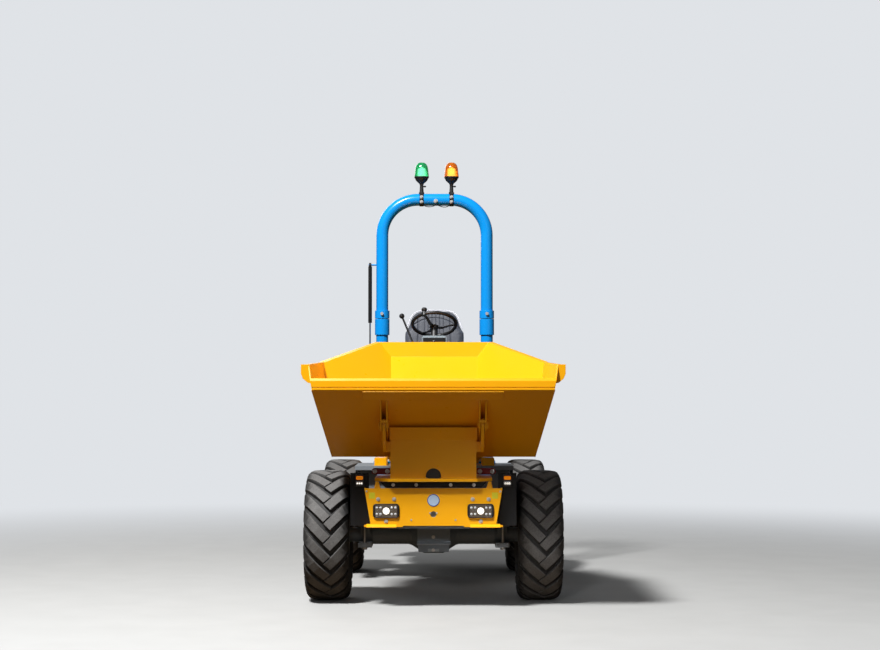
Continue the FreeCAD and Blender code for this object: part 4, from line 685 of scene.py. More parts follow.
def plain_finish(name, colour, roughness, speck_scale, speck_share, coat=0.0, bump=0.1):
    """A moulded or enamelled surface: one colour with a faint mottle and grain."""
    finish, tree, shader = new_finish(name)
    place = put(tree, "ShaderNodeTexCoord").outputs["Object"]
    grain = put(tree, "ShaderNodeTexNoise", Vector=place, Scale=speck_scale, Detail=4.0)
    darker = tuple(channel * (1.0 - speck_share) for channel in colour)
    tree.links.new(mix_of(tree, grain.outputs["Fac"], (*darker, 1.0), (*colour, 1.0)), shader.inputs["Base Color"])
    uneven = math_of(tree, "ADD", math_of(tree, "MULTIPLY", grain.outputs["Fac"], 0.16), roughness - 0.08, clamp=True)
    tree.links.new(uneven, shader.inputs["Roughness"])
    soft_edge = put(tree, "ShaderNodeBevel", {"samples": 4}, Radius=0.0015)
    surface = put(tree, "ShaderNodeBump", Strength=bump, Distance=0.001, Height=grain.outputs["Fac"],
                  Normal=soft_edge.outputs[0])
    tree.links.new(surface.outputs[0], shader.inputs["Normal"])
    shader.inputs["Coat Weight"].default_value = coat
    return finish


white_enamel = plain_finish("white_enamel", (0.48, 0.62, 0.82), 0.25, 60.0, 0.06, coat=0.5)
blue_enamel = plain_finish("blue_enamel", (0.01, 0.08, 0.36), 0.25, 60.0, 0.08, coat=0.5)
label_foil = plain_finish("label_foil", (0.68, 0.60, 0.02), 0.35, 90.0, 0.08)
black_plastic = plain_finish("black_plastic", (0.014, 0.014, 0.015), 0.42, 240.0, 0.25, bump=0.25)


def flat_disc(name, centre, outer, inner, thick, steps=48):
    """A disc or ring facing the front, standing a little proud of its surface."""
    shape = bmesh.new()
    centre = Vector(centre)
    if inner > 0.0:
        profile = [(0.0, inner), (0.0, outer), (-thick, outer - thick * 0.4), (-thick, inner)]
        spin_ring(shape, profile, steps, centre, "Y")
    else:
        rim = [[shape.verts.new(centre + Vector((r * math.cos(math.tau * k / steps), -y, r * math.sin(math.tau * k / steps))))
                for k in range(steps)] for r, y in ((outer, 0.0), (outer, thick * 0.6), (outer * 0.97, thick))]
        for low, high in zip(rim, rim[1:]):
            for k in range(steps):
                shape.faces.new((low[k], low[(k + 1) % steps], high[(k + 1) % steps], high[k]))
        shape.faces.new(rim[-1])
        shape.faces.new(rim[0][::-1])
    bmesh.ops.recalc_face_normals(shape, faces=shape.faces)
    return mesh_object(name, shape)


badge_pieces = []
for (name, outer, inner), finish in zip(badge_rings, (blue_enamel, white_enamel)):
    piece = flat_disc(name, badge_at, outer, inner, 0.0024 if inner else 0.0018)
    piece.data.materials.append(finish)
    badge_pieces.append(piece)
badge = join("badge_place", *badge_pieces)
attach(badge, "front")


def slab(name, low, high, round_off=0.001, segments=2):
    """A plate or block between two corners, its edges softened."""
    shape = bmesh.new()
    bmesh.ops.create_cube(shape, size=1.0)
    low, high = Vector(low), Vector(high)
    for vert in shape.verts:
        vert.co = Vector([low[i] if vert.co[i] < 0.0 else high[i] for i in range(3)])
    if round_off:
        bmesh.ops.bevel(shape, geom=shape.edges[:] + shape.verts[:], offset=round_off, segments=segments, affect="EDGES")
    bmesh.ops.recalc_face_normals(shape, faces=shape.faces)
    return mesh_object(name, shape)


labels = []
for x, z in label_places:
    label = slab("label", (x - label_half, panel_face_y - 0.0008, z - label_half),
                 (x + label_half, panel_face_y, z + label_half * 1.05), 0.0003, 1)
    label.data.materials.append(label_foil)
    labels.append(label)
label_pair = join("label_places", *labels)
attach(label_pair, "front")

# Work lamps in the front panel: a moulded black housing with rounded ends, a bright tray with two
# rows of square light cells, and one larger round cell at the middle that is lit.
lamp_centres = (-0.295, 0.295)
lamp_height = 0.617
lamp_half = (0.0815, 0.0432)
lamp_corner = 0.020
lamp_front_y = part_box("headlamps")[0].y
lamp_back_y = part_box("headlamps")[1].y


def round_rectangle(half_x, half_z, corner, steps=6):
    """Points round a rectangle with rounded corners, anticlockwise seen from the front."""
    points = []
    for quarter, (sx, sz) in enumerate(((1, -1), (1, 1), (-1, 1), (-1, -1))):
        start = -math.pi / 2 + quarter * math.pi / 2
        for k in range(steps + 1):
            angle = start + k * math.pi / 2 / steps
            points.append((sx * (half_x - corner) + corner * math.cos(angle),
                           sz * (half_z - corner) + corner * math.sin(angle)))
    return points


def stack_of_outlines(name, centre, outlines, cap_last=True, cap_first=True):
    """A closed body from outlines (points, y) of the same count, the first at the back."""
    shape = bmesh.new()
    rows = [[shape.verts.new((centre[0] + x, y, centre[1] + z)) for x, z in points] for points, y in outlines]
    count = len(rows[0])
    for low, high in zip(rows, rows[1:]):
        for k in range(count):
            shape.faces.new((low[k], low[(k + 1) % count], high[(k + 1) % count], high[k]))
    if cap_first:
        shape.faces.new(rows[0][::-1])
    if cap_last:
        shape.faces.new(rows[-1])
    bmesh.ops.recalc_face_normals(shape, faces=shape.faces)
    return mesh_object(name, shape)


def lamp_cover(name, colour, roughness, glow=0.0, clear=0.5):
    """Clear or tinted moulded lens."""
    finish, tree, shader = new_finish(name)
    place = put(tree, "ShaderNodeTexCoord").outputs["Object"]
    flutes = put(tree, "ShaderNodeTexWave", {"bands_direction": "X"}, Vector=place, Scale=90.0)
    tree.links.new(mix_of(tree, flutes.outputs["Fac"], (*colour, 1.0), tuple(c * 0.8 for c in colour) + (1.0,)),
                   shader.inputs["Base Color"])
    surface = put(tree, "ShaderNodeBump", Strength=0.25, Distance=0.0008, Height=flutes.outputs["Fac"])
    tree.links.new(surface.outputs[0], shader.inputs["Normal"])
    shader.inputs["Roughness"].default_value = roughness
    shader.inputs["Transmission Weight"].default_value = clear
    shader.inputs["IOR"].default_value = 1.46
    shader.inputs["Coat Weight"].default_value = 0.3
    shader.inputs["Emission Color"].default_value = (*colour, 1.0)
    shader.inputs["Emission Strength"].default_value = glow
    return finish


def lit_cell(name, colour, strength):
    """A light cell that glows, brighter at its middle."""
    finish, tree, shader = new_finish(name)
    facing = put(tree, "ShaderNodeLayerWeight", Blend=0.4).outputs["Facing"]
    glow = mix_of(tree, facing, (*colour, 1.0), tuple(c * 0.45 for c in colour) + (1.0,))
    tree.links.new(glow, shader.inputs["Emission Color"])
    tree.links.new(glow, shader.inputs["Base Color"])
    shader.inputs["Emission Strength"].default_value = strength
    shader.inputs["Roughness"].default_value = 0.2
    return finish


bright_tray = bare_steel("bright_tray", (0.85, 0.86, 0.87), 0.16, 300.0)
cell_glass = plain_finish("cell_glass", (0.72, 0.74, 0.76), 0.10, 200.0, 0.1, coat=0.8)
lit_white = lit_cell("lit_white", (1.0, 0.93, 0.84), 1.6)
lamp_bodies = []
for lamp_x in lamp_centres:
    centre = (lamp_x, lamp_height)
    outer = round_rectangle(lamp_half[0], lamp_half[1], lamp_corner)
    inner = round_rectangle(lamp_half[0] - 0.0040, lamp_half[1] - 0.0020, lamp_corner - 0.003)
    tray = round_rectangle(lamp_half[0] - 0.0110, lamp_half[1] - 0.0030, lamp_corner - 0.006)
    shell = stack_of_outlines("lamp_shell", centre, [
        (outer, lamp_back_y), (outer, lamp_front_y + 0.003), (inner, lamp_front_y), (tray, lamp_front_y + 0.0010),
        (tray, lamp_front_y + 0.0090)])
    shell.data.materials.append(black_plastic)
    bed = slab("lamp_bed", (lamp_x - 0.069, lamp_front_y + 0.0075, lamp_height - 0.0395),
               (lamp_x + 0.069, lamp_front_y + 0.0088, lamp_height + 0.0395), 0.0004, 1)
    bed.data.materials.append(bright_tray)
    cells = []
    for row in (-1, 1):
        for column in (-2.5, -1.5, 1.5, 2.5):
            cell_x = lamp_x + column * 0.0232
            cell_z = lamp_height + row * 0.0197
            cell = bmesh.new()
            spin_ring(cell, [(0.0, 0.0006), (0.0, 0.0075), (-0.0022, 0.0068), (-0.0042, 0.0040), (-0.0050, 0.0006)], 16,
                      (cell_x, lamp_front_y + 0.0072, cell_z), "Y")
            bmesh.ops.recalc_face_normals(cell, faces=cell.faces)
            cell = smooth(mesh_object("cell", cell), 60.0)
            cell.data.materials.append(cell_glass)
            cells.append(cell)
            frame_points = round_rectangle(0.0110, 0.0185, 0.003, 3)
            inside_points = round_rectangle(0.0096, 0.0171, 0.002, 3)
            bezel = stack_of_outlines("cell_bezel", (cell_x, cell_z), [
                (frame_points, lamp_front_y + 0.0076), (frame_points, lamp_front_y + 0.0026),
                (inside_points, lamp_front_y + 0.0026), (inside_points, lamp_front_y + 0.0072)])
            bezel.data.materials.append(bright_tray)
            cells.append(bezel)
    eye = bmesh.new()
    spin_ring(eye, [(0.0, 0.0006), (0.0, 0.0210), (-0.0030, 0.0198), (-0.0058, 0.0120), (-0.0066, 0.0006)], 32,
              (lamp_x, lamp_front_y + 0.0080, lamp_height), "Y")
    bmesh.ops.recalc_face_normals(eye, faces=eye.faces)
    eye = smooth(mesh_object("lamp_eye", eye), 60.0)
    eye.data.materials.append(lit_white)
    collar = bmesh.new()
    spin_ring(collar, [(0.0, 0.0212), (-0.0062, 0.0218), (-0.0062, 0.0232), (0.0, 0.0236)], 32,
              (lamp_x, lamp_front_y + 0.0080, lamp_height), "Y")
    bmesh.ops.recalc_face_normals(collar, faces=collar.faces)
    collar = smooth(mesh_object("lamp_collar", collar), 40.0)
    collar.data.materials.append(bright_tray)
    lamp_bodies += [shell, bed, *cells, eye, collar]
work_lamps = join("work_lamps", *lamp_bodies)
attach(work_lamps, "front")
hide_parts("headlamps")

# Side marker lamps outboard of the turntable: a black box with an amber lens above and three clear
# light cells below.
marker_low, marker_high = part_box("side_lamps")
marker_half = 0.027
marker_centres = (marker_low.x + marker_half, marker_high.x - marker_half)
amber_lens = lamp_cover("amber_lens", (1.0, 0.32, 0.01), 0.12, 0.35)
markers = []
for marker_x in marker_centres:
    box = slab("marker_box", (marker_x - marker_half, marker_low.y + 0.004, marker_low.z),
               (marker_x + marker_half, marker_high.y, marker_high.z), 0.004, 3)
    box.data.materials.append(black_plastic)
    amber = slab("marker_amber", (marker_x - 0.021, marker_low.y + 0.0005, marker_high.z - 0.032),
                 (marker_x + 0.021, marker_low.y + 0.006, marker_high.z - 0.010), 0.003, 3)
    amber.data.materials.append(amber_lens)
    strip = slab("marker_strip", (marker_x - 0.022, marker_low.y + 0.001, marker_low.z + 0.012),
                 (marker_x + 0.022, marker_low.y + 0.006, marker_low.z + 0.034), 0.003, 3)
    strip.data.materials.append(cell_glass)
    dots = []
    for step in (-1, 0, 1):
        dot = bmesh.new()
        spin_ring(dot, [(0.0, 0.0004), (0.0, 0.0052), (-0.0014, 0.0044), (-0.0020, 0.0004)], 14,
                  (marker_x + step * 0.013, marker_low.y + 0.0022, marker_low.z + 0.023), "Y")
        bmesh.ops.recalc_face_normals(dot, faces=dot.faces)
        dot = smooth(mesh_object("marker_dot", dot), 60.0)
        dot.data.materials.append(lit_white)
        dots.append(dot)
    markers += [box, amber, strip, *dots]
side_markers = join("side_markers", *markers)
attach(side_markers, "front")
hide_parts("side_lamps")

# Beacons on the hoop: one green and one amber, fluted lenses on flared black feet, each on a stem
# that is bolted through a clamp round the tube. A thin black cable is clipped under the tube.
beacon_at = (-0.096, 0.126)
beacon_y = 0.55
beacon_foot_z = 2.957
beacon_top_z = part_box("beacons")[1].z
tube_top_z = 2.786 + 0.0445
green_lens = lamp_cover("green_lens", (0.03, 0.62, 0.22), 0.12, 0.08, 0.8)
orange_lens = lamp_cover("orange_lens", (1.0, 0.26, 0.008), 0.12, 0.08, 0.8)
core_glow = lit_cell("core_glow", (1.0, 0.95, 0.80), 2.2)
beacon_pieces = []
for x, lens_finish in zip(beacon_at, (green_lens, orange_lens)):
    place = (x, beacon_y, 0.0)
    lens = bmesh.new()
    rise = beacon_top_z - beacon_foot_z
    outline = [(beacon_foot_z, 0.002)] + [
        (beacon_foot_z + rise * up, 0.054 * out) for up, out in (
            (0.0, 0.97), (0.03, 1.0), (0.10, 1.0), (0.11, 0.96), (0.16, 0.955), (0.17, 0.985), (0.22, 0.98),
            (0.23, 0.95), (0.40, 0.93), (0.60, 0.88), (0.78, 0.78), (0.90, 0.62), (0.97, 0.40), (1.0, 0.02))]
    spin_ring(lens, outline, 48, place, "Z")
    bmesh.ops.recalc_face_normals(lens, faces=lens.faces)
    lens = smooth(mesh_object("beacon_lens", lens), 30.0)
    lens.data.materials.append(lens_finish)
    core = bmesh.new()
    spin_ring(core, [(beacon_foot_z + 0.004, 0.001), (beacon_foot_z + 0.004, 0.022), (beacon_foot_z + 0.056, 0.019),
                     (beacon_foot_z + 0.070, 0.001)], 24, place, "Z")
    bmesh.ops.recalc_face_normals(core, faces=core.faces)
    core = smooth(mesh_object("beacon_core", core), 40.0)
    core.data.materials.append(core_glow)
    foot = bmesh.new()
    spin_ring(foot, [
        (tube_top_z + 0.010, 0.001), (tube_top_z + 0.010, 0.016), (tube_top_z + 0.050, 0.0135),
        (beacon_foot_z - 0.060, 0.0135), (beacon_foot_z - 0.050, 0.0180), (beacon_foot_z - 0.040, 0.0300),
        (beacon_foot_z - 0.028, 0.0420), (beacon_foot_z - 0.010, 0.0500), (beacon_foot_z - 0.008, 0.0545),
        (beacon_foot_z + 0.001, 0.0545),
        (beacon_foot_z + 0.002, 0.001)], 40, place, "Z")
    bmesh.ops.recalc_face_normals(foot, faces=foot.faces)
    foot = smooth(mesh_object("beacon_foot", foot), 30.0)
    foot.data.materials.append(black_plastic)
    tightener = slab("beacon_screw", (x + 0.012, beacon_y - 0.006, beacon_foot_z - 0.078),
                     (x + 0.034, beacon_y + 0.006, beacon_foot_z - 0.066), 0.003, 2)
    tightener.data.materials.append(black_plastic)
    band = bmesh.new()
    spin_ring(band, [(-0.015, 0.0448), (-0.015, 0.0495), (0.015, 0.0495), (0.015, 0.0448)], 48,
              (x, beacon_y, 2.786), "X")
    bmesh.ops.recalc_face_normals(band, faces=band.faces)
    band = smooth(mesh_object("beacon_band", band), 40.0)
    band.data.materials.append(black_coat)
    seat = slab("beacon_seat", (x - 0.020, beacon_y - 0.022, tube_top_z - 0.004),
                (x + 0.020, beacon_y + 0.022, tube_top_z + 0.012), 0.003, 2)
    seat.data.materials.append(black_coat)
    beacon_pieces += [lens, core, foot, tightener, band, seat]
beacons = join("dressed_beacons", *beacon_pieces)
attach(beacons, "hoop_bow")
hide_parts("beacons")
hoop_front_y = beacon_y - 0.0488
fasten("beacon_bolts", hex_bolt(0.0075, 0.010), [
    (beacon_at[0], hoop_front_y, 2.802), (beacon_at[0], hoop_front_y, 2.766), (beacon_at[1], hoop_front_y, 2.802),
    (beacon_at[1], hoop_front_y, 2.766)], faces_front, zinc, "hoop_bow")
fasten("hoop_centre_bolt", hex_bolt(0.0090, 0.012), [(0.010, beacon_y - 0.0440, 2.772)], faces_front, zinc,
       "hoop_bow")


def wire(name, points, radius, finish, body):
    """A thin clipped cable along a smooth line, as a mesh tube."""
    line = bpy.data.curves.new(name, "CURVE")
    line.dimensions = "3D"
    run = line.splines.new("NURBS")
    run.points.add(len(points) - 1)
    for point, place in zip(run.points, points):
        point.co = (*place, 1.0)
    run.order_u = 3
    run.use_endpoint_u = True
    run.resolution_u = 8
    line.bevel_depth = radius
    line.bevel_resolution = 3
    line.use_fill_caps = True
    shaped = bpy.data.objects.new(name, line)
    scene.collection.objects.link(shaped)
    bpy.context.view_layer.update()
    mesh = bpy.data.meshes.new_from_object(shaped.evaluated_get(bpy.context.evaluated_depsgraph_get()))
    bpy.data.objects.remove(shaped)
    tube = smooth(mesh_object(name + "_run", mesh), 60.0)
    tube.data.materials.clear()
    tube.data.materials.append(finish)
    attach(tube, body)
    return tube


tube_low_z = 2.786 - 0.0445
wire("beacon_cable", [
    (beacon_at[0], beacon_y - 0.040, tube_low_z + 0.018), (beacon_at[0] + 0.012, beacon_y - 0.036, tube_low_z - 0.002),
    (beacon_at[0] + 0.055, beacon_y - 0.020, tube_low_z - 0.012), (0.0, beacon_y - 0.026, tube_low_z - 0.004),
    (0.014, beacon_y - 0.038, tube_low_z + 0.008), (0.034, beacon_y - 0.028, tube_low_z - 0.004),
    (0.075, beacon_y - 0.016, tube_low_z - 0.014), (beacon_at[1] - 0.014, beacon_y - 0.030, tube_low_z - 0.003),
    (beacon_at[1], beacon_y - 0.040, tube_low_z + 0.016)], 0.0032, black_plastic, "hoop_bow")

# Seat: a low-backed bucket seat in grey leather cloth, blown up from its cut form by a short cloth
# simulation, with sewn channels down its middle and a pale piping along the edge of its back.
pan_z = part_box("seat_frame")[0].z + 0.0146
cushion_low, cushion_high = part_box("seat_cushion")
back_low, back_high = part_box("seat_back")
back_levels = [  # height, half width, depth of the pad, how round its corners are
    (1.446, 0.190, 0.075, 0.034), (1.470, 0.208, 0.088, 0.038), (1.560, 0.218, 0.088, 0.040),
    (1.680, 0.222, 0.084, 0.038), (1.762, 0.224, 0.078, 0.036), (1.796, 0.222, 0.074, 0.034),
    (1.824, 0.204, 0.070, 0.032), (1.858, 0.189, 0.066, 0.030), (1.895, 0.178, 0.062, 0.028),
    (1.925, 0.162, 0.056, 0.025), (1.946, 0.138, 0.048, 0.021), (1.958, 0.108, 0.036, 0.015)]
cushion_levels = [  # height, half width, front, rear, how round its corners are
    (0.006, 0.205, 0.105, 0.465, 0.045), (0.022, 0.218, 0.085, 0.470, 0.055), (0.060, 0.222, 0.080, 0.471, 0.060),
    (0.086, 0.214, 0.088, 0.466, 0.062), (0.100, 0.190, 0.108, 0.450, 0.060)]


def back_plane(z):
    """Front of the seat frame's leaning plate at a height."""
    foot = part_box("seat_frame")[0].z
    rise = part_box("seat_frame")[1].z - foot
    return 0.4875 + 0.062 * (z - foot) / rise


def padded_form(name, levels):
    """A closed pad from rounded outlines (points, z), each level above the last."""
    shape = bmesh.new()
    rows = [[shape.verts.new((x, y, z)) for x, y in points] for points, z in levels]
    count = len(rows[0])
    for low, high in zip(rows, rows[1:]):
        for k in range(count):
            shape.faces.new((low[k], low[(k + 1) % count], high[(k + 1) % count], high[k]))
    shape.faces.new(rows[0][::-1])
    shape.faces.new(rows[-1])
    bmesh.ops.recalc_face_normals(shape, faces=shape.faces)
    return mesh_object(name, shape)


def apply_modifiers(piece):
    """Keeps a piece as its modifiers show it."""
    bpy.context.view_layer.update()
    mesh = bpy.data.meshes.new_from_object(piece.evaluated_get(bpy.context.evaluated_depsgraph_get()))
    piece.modifiers.clear()
    piece.data = mesh


def puff(piece, voxel, pressure, cap):
    """Remeshes a pad evenly and blows it up as cloth for a few frames, each point held within a cap."""
    remesh = piece.modifiers.new("even", "REMESH")
    remesh.mode = "VOXEL"
    remesh.voxel_size = voxel
    apply_modifiers(piece)
    flat = [vert.co.copy() for vert in piece.data.vertices]
    cloth = piece.modifiers.new("cloth", "CLOTH")
    cloth.settings.quality = 6
    cloth.settings.use_pressure = True
    cloth.settings.uniform_pressure_force = pressure
    cloth.settings.effector_weights.gravity = 0.0
    cloth.point_cache.frame_start = 1
    cloth.point_cache.frame_end = 20
    for step in range(1, 21):
        scene.frame_set(step)
    apply_modifiers(piece)
    scene.frame_set(1)
    for vert, start in zip(piece.data.vertices, flat):
        moved = vert.co - start
        if moved.length > cap:
            vert.co = start + moved * (cap / moved.length)
    finer = piece.modifiers.new("finer", "SUBSURF")
    finer.levels = 1
    finer.render_levels = 1
    apply_modifiers(piece)


def sew(piece, faces_out, lines):
    """Presses sewn lines into a pad: each line gives how far a point is from it; depth and width are its own."""
    normals = [vert.normal.copy() for vert in piece.data.vertices]
    for vert, normal in zip(piece.data.vertices, normals):
        share = max(0.0, normal.dot(faces_out))
        if share > 0.25:
            press = sum(depth * math.exp(-(line(vert.co) / width) ** 2) for line, depth, width in lines)
            vert.co -= normal * min(press, 0.010) * min(1.0, share * 1.6)
    piece.data.update()


def leather_cloth(name, colour, sheen):
    """Coated fabric: fine pebbled grain, a little shine on the crowns, dust in the grain."""
    finish, tree, shader = new_finish(name)
    place = put(tree, "ShaderNodeTexCoord").outputs["Object"]
    pebble = put(tree, "ShaderNodeTexVoronoi", {"feature": "DISTANCE_TO_EDGE"}, Vector=place, Scale=420.0)
    cloud = put(tree, "ShaderNodeTexNoise", Vector=place, Scale=11.0, Detail=6.0)
    pale = tuple(min(1.0, channel * 1.5 + 0.01) for channel in colour)
    tree.links.new(mix_of(tree, math_of(tree, "MULTIPLY", cloud.outputs["Fac"], 0.6), (*colour, 1.0), (*pale, 1.0)),
                   shader.inputs["Base Color"])
    grain = math_of(tree, "MULTIPLY", pebble.outputs["Distance"], 6.0, clamp=True)
    surface = put(tree, "ShaderNodeBump", Strength=0.25, Distance=0.0006, Height=grain)
    tree.links.new(surface.outputs[0], shader.inputs["Normal"])
    tree.links.new(math_of(tree, "SUBTRACT", 0.62, math_of(tree, "MULTIPLY", cloud.outputs["Fac"], 0.16)),
                   shader.inputs["Roughness"])
    shader.inputs["Sheen Weight"].default_value = sheen
    return finish


seat_cloth = leather_cloth("seat_grey", (0.052, 0.057, 0.072), 0.12)
piping_cloth = leather_cloth("seat_piping", (0.60, 0.60, 0.68), 0.1)


def level_outline(half_x, front, rear, corner):
    """A rounded rectangle in plan between a front and a rear line."""
    middle = (front + rear) / 2
    return [(x, middle + y) for x, y in round_rectangle(half_x, (rear - front) / 2, corner, 5)]


seat_back_pad = padded_form("seat_back_pad", [
    (level_outline(half_x, back_plane(z) - 0.006 - depth, back_plane(z) - 0.004, corner), z)
    for z, half_x, depth, corner in back_levels])
puff(seat_back_pad, 0.006, 4.0, 0.007)
sew(seat_back_pad, Vector((0, -1, 0)), [
    (lambda spot, at=at: abs(abs(spot.x) - at), 0.0045, 0.0035) for at in (0.014, 0.042, 0.070)] + [
    (lambda spot: abs(abs(spot.x) - 0.118 - 0.12 * max(0.0, 1.80 - spot.z) * 0.5), 0.0075, 0.0045),
    (lambda spot: abs(spot.z - 1.905 + spot.x * spot.x * 2.2), 0.0060, 0.0040)])
seat_pad = padded_form("seat_pad", [
    (level_outline(half_x, front, rear, corner), pan_z + up)
    for up, half_x, front, rear, corner in cushion_levels])
puff(seat_pad, 0.006, 4.0, 0.008)
sew(seat_pad, Vector((0, 0, 1)), [
    (lambda spot, at=at: abs(abs(spot.x) - at), 0.0045, 0.0035) for at in (0.014, 0.042, 0.070)] + [
    (lambda spot: abs(abs(spot.x) - 0.140), 0.0075, 0.0050), (lambda spot: abs(spot.y - 0.165), 0.0050, 0.0045)])
for pad, node in ((seat_back_pad, "seat_back"), (seat_pad, "seat_cushion")):
    pad.data.materials.clear()
    pad.data.materials.append(seat_cloth)
    smooth(pad, 180.0)
    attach(pad, "rear")
    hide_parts(node)

welt_path = []
welt_side = [(z, half_x, depth) for z, half_x, depth, _ in back_levels if z > 1.80]
for z, half_x, depth in welt_side:
    welt_path.append((half_x + 0.003, back_plane(z) - 0.010 - depth * 0.80, z))
welt_path.append((0.070, back_plane(1.962) - 0.034, 1.9615))
welt_path = welt_path + [(-x, y, z) for x, y, z in reversed(welt_path)]
piping = wire("seat_piping", welt_path, 0.0036, piping_cloth, "rear")

# Steering wheel: moulded black rim on three dished spokes, a spinner knob and a bright hub nut. It is
# built flat and then tilted back to its place on the column.
wheel_at = Vector((0.0, 0.048, 1.842))
wheel_tilt = Matrix.Rotation(math.radians(-30.0), 4, "X")
rim_middle = 0.155
rim_grip = 0.0125
spoke_turns = (242.0, 123.0, 2.0)
hub_drop = 0.030
knob_turn = 243.0


def tube_through(name, points, radius, sides=12):
    """A round bar through points, its ends closed."""
    shape = bmesh.new()
    places = [Vector(point) for point in points]
    radii = radius if isinstance(radius, (list, tuple)) else [radius] * len(places)
    rows = []
    for index, place in enumerate(places):
        before = places[max(0, index - 1)]
        after = places[min(len(places) - 1, index + 1)]
        along = (after - before).normalized()
        first = along.orthogonal().normalized() if index == 0 else (rows_first - along * rows_first.dot(along)).normalized()
        rows_first = first
        second = along.cross(first)
        rows.append([shape.verts.new(place + (first * math.cos(math.tau * k / sides)
                                              + second * math.sin(math.tau * k / sides)) * radii[index])
                     for k in range(sides)])
    for low, high in zip(rows, rows[1:]):
        for k in range(sides):
            shape.faces.new((low[k], low[(k + 1) % sides], high[(k + 1) % sides], high[k]))
    shape.faces.new(rows[0][::-1])
    shape.faces.new(rows[-1])
    bmesh.ops.recalc_face_normals(shape, faces=shape.faces)
    return smooth(mesh_object(name, shape), 50.0)


def turned(name, profile, steps, centre, axis, finish, angle=40.0):
    """A round piece turned from points along and out from its axis."""
    shape = bmesh.new()
    spin_ring(shape, profile, steps, centre, axis)
    bmesh.ops.remove_doubles(shape, verts=shape.verts, dist=0.00005)
    bmesh.ops.recalc_face_normals(shape, faces=shape.faces)
    piece = smooth(mesh_object(name, shape), angle)
    piece.data.materials.append(finish)
    return piece


rim_section = [(rim_grip * math.sin(math.tau * k / 16), rim_middle + rim_grip * math.cos(math.tau * k / 16))
               for k in range(16)]
grip = turned("wheel_grip", rim_section, 96, (0, 0, 0), "Z", black_plastic, 80.0)
wheel_pieces = [grip]
for turn in spoke_turns:
    way = Vector((math.cos(math.radians(turn)), math.sin(math.radians(turn)), 0.0))
    across = Vector((-way.y, way.x, 0.0))
    shape = bmesh.new()
    rows = []
    for out, level, half, thick in ((0.030, -hub_drop, 0.0150, 0.006), (0.062, -hub_drop + 0.002, 0.0125, 0.005),
                                    (0.110, -0.010, 0.0100, 0.005), (0.148, 0.0, 0.0110, 0.006)):
        rows.append([shape.verts.new(way * out + across * a + Vector((0, 0, level + up))) for a, up in (
            (-half, -thick * 0.4), (half, -thick * 0.4), (half, thick * 0.2), (half * 0.8, thick * 0.6),
            (-half * 0.8, thick * 0.6), (-half, thick * 0.2))])
    for low, high in zip(rows, rows[1:]):
        for k in range(6):
            shape.faces.new((low[k], low[(k + 1) % 6], high[(k + 1) % 6], high[k]))
    shape.faces.new(rows[0][::-1])
    shape.faces.new(rows[-1])
    bmesh.ops.recalc_face_normals(shape, faces=shape.faces)
    spoke = mesh_object("wheel_spoke", shape)
    spoke.data.materials.append(black_plastic)
    wheel_pieces.append(spoke)
wheel_pieces.append(turned("wheel_boss", [
    (-hub_drop - 0.0010, 0.0), (-hub_drop - 0.0010, 0.030), (-hub_drop + 0.004, 0.0345), (-hub_drop + 0.012, 0.032),
    (-hub_drop + 0.017, 0.022), (-hub_drop + 0.018, 0.0)], 40, (0, 0, 0), "Z", black_plastic))
wheel_pieces.append(turned("wheel_nut", [
    (-hub_drop + 0.016, 0.0), (-hub_drop + 0.016, 0.0145), (-hub_drop + 0.024, 0.0140), (-hub_drop + 0.029, 0.0095),
    (-hub_drop + 0.030, 0.0)], 6, (0, 0, 0), "Z", zinc, 20.0))
knob_place = Vector((math.cos(math.radians(knob_turn)), math.sin(math.radians(knob_turn)), 0.0)) * rim_middle
wheel_pieces.append(turned("wheel_knob", [
    (-0.016, 0.0), (-0.016, 0.017), (0.010, 0.0180), (0.014, 0.010), (0.020, 0.009), (0.026, 0.0175), (0.036, 0.0205),
    (0.043, 0.0180), (0.0465, 0.009), (0.047, 0.0)], 28, knob_place, "Z", black_plastic, 30.0))
steering = join("dressed_steering_wheel", *wheel_pieces)
steering.data.transform(Matrix.Translation(wheel_at) @ wheel_tilt)
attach(steering, "steering_wheel")
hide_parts("steering_wheel")

# Small plates on the front half: gussets under the turntable plate, sloping flanges along the foot of the panel, the
# nose bracket's ledge and foot plate, a black sheet just inside the tower's port, clamp studs.
def extruded(name, points, back_y, front_y, finish, bevel=0.0008):
    """A flat plate facing the front, from its outline (x, z)."""
    plate = stack_of_outlines(name, (0.0, 0.0), [(points, back_y), (points, front_y)])
    if bevel:
        softened = bmesh.new()
        softened.from_mesh(plate.data)
        bmesh.ops.bevel(softened, geom=softened.edges[:], offset=bevel, segments=2, affect="EDGES")
        softened.to_mesh(plate.data)
        softened.free()
    plate.data.materials.append(finish)
    return plate


def both_sides(points):
    """An outline and its mirror image, both running the same way round."""
    return points, [(-x, z) for x, z in reversed(points)]


def leaning_plate(name, x_low, x_high, top, foot, thick, finish):
    """A plate between two level lines given as (y, z)."""
    (y0, z0), (y1, z1) = top, foot
    shape = bmesh.new()
    corners = [[shape.verts.new((x, y, z)) for y, z in ((y0, z0), (y1, z1), (y1, z1 - thick), (y0, z0 - thick))]
               for x in (x_low, x_high)]
    for k in range(4):
        shape.faces.new((corners[0][k], corners[0][(k + 1) % 4], corners[1][(k + 1) % 4], corners[1][k]))
    shape.faces.new(corners[0][::-1])
    shape.faces.new(corners[1])
    bmesh.ops.bevel(shape, geom=shape.edges[:], offset=0.001, segments=2, affect="EDGES")
    bmesh.ops.recalc_face_normals(shape, faces=shape.faces)
    plate = mesh_object(name, shape)
    plate.data.materials.append(finish)
    return plate
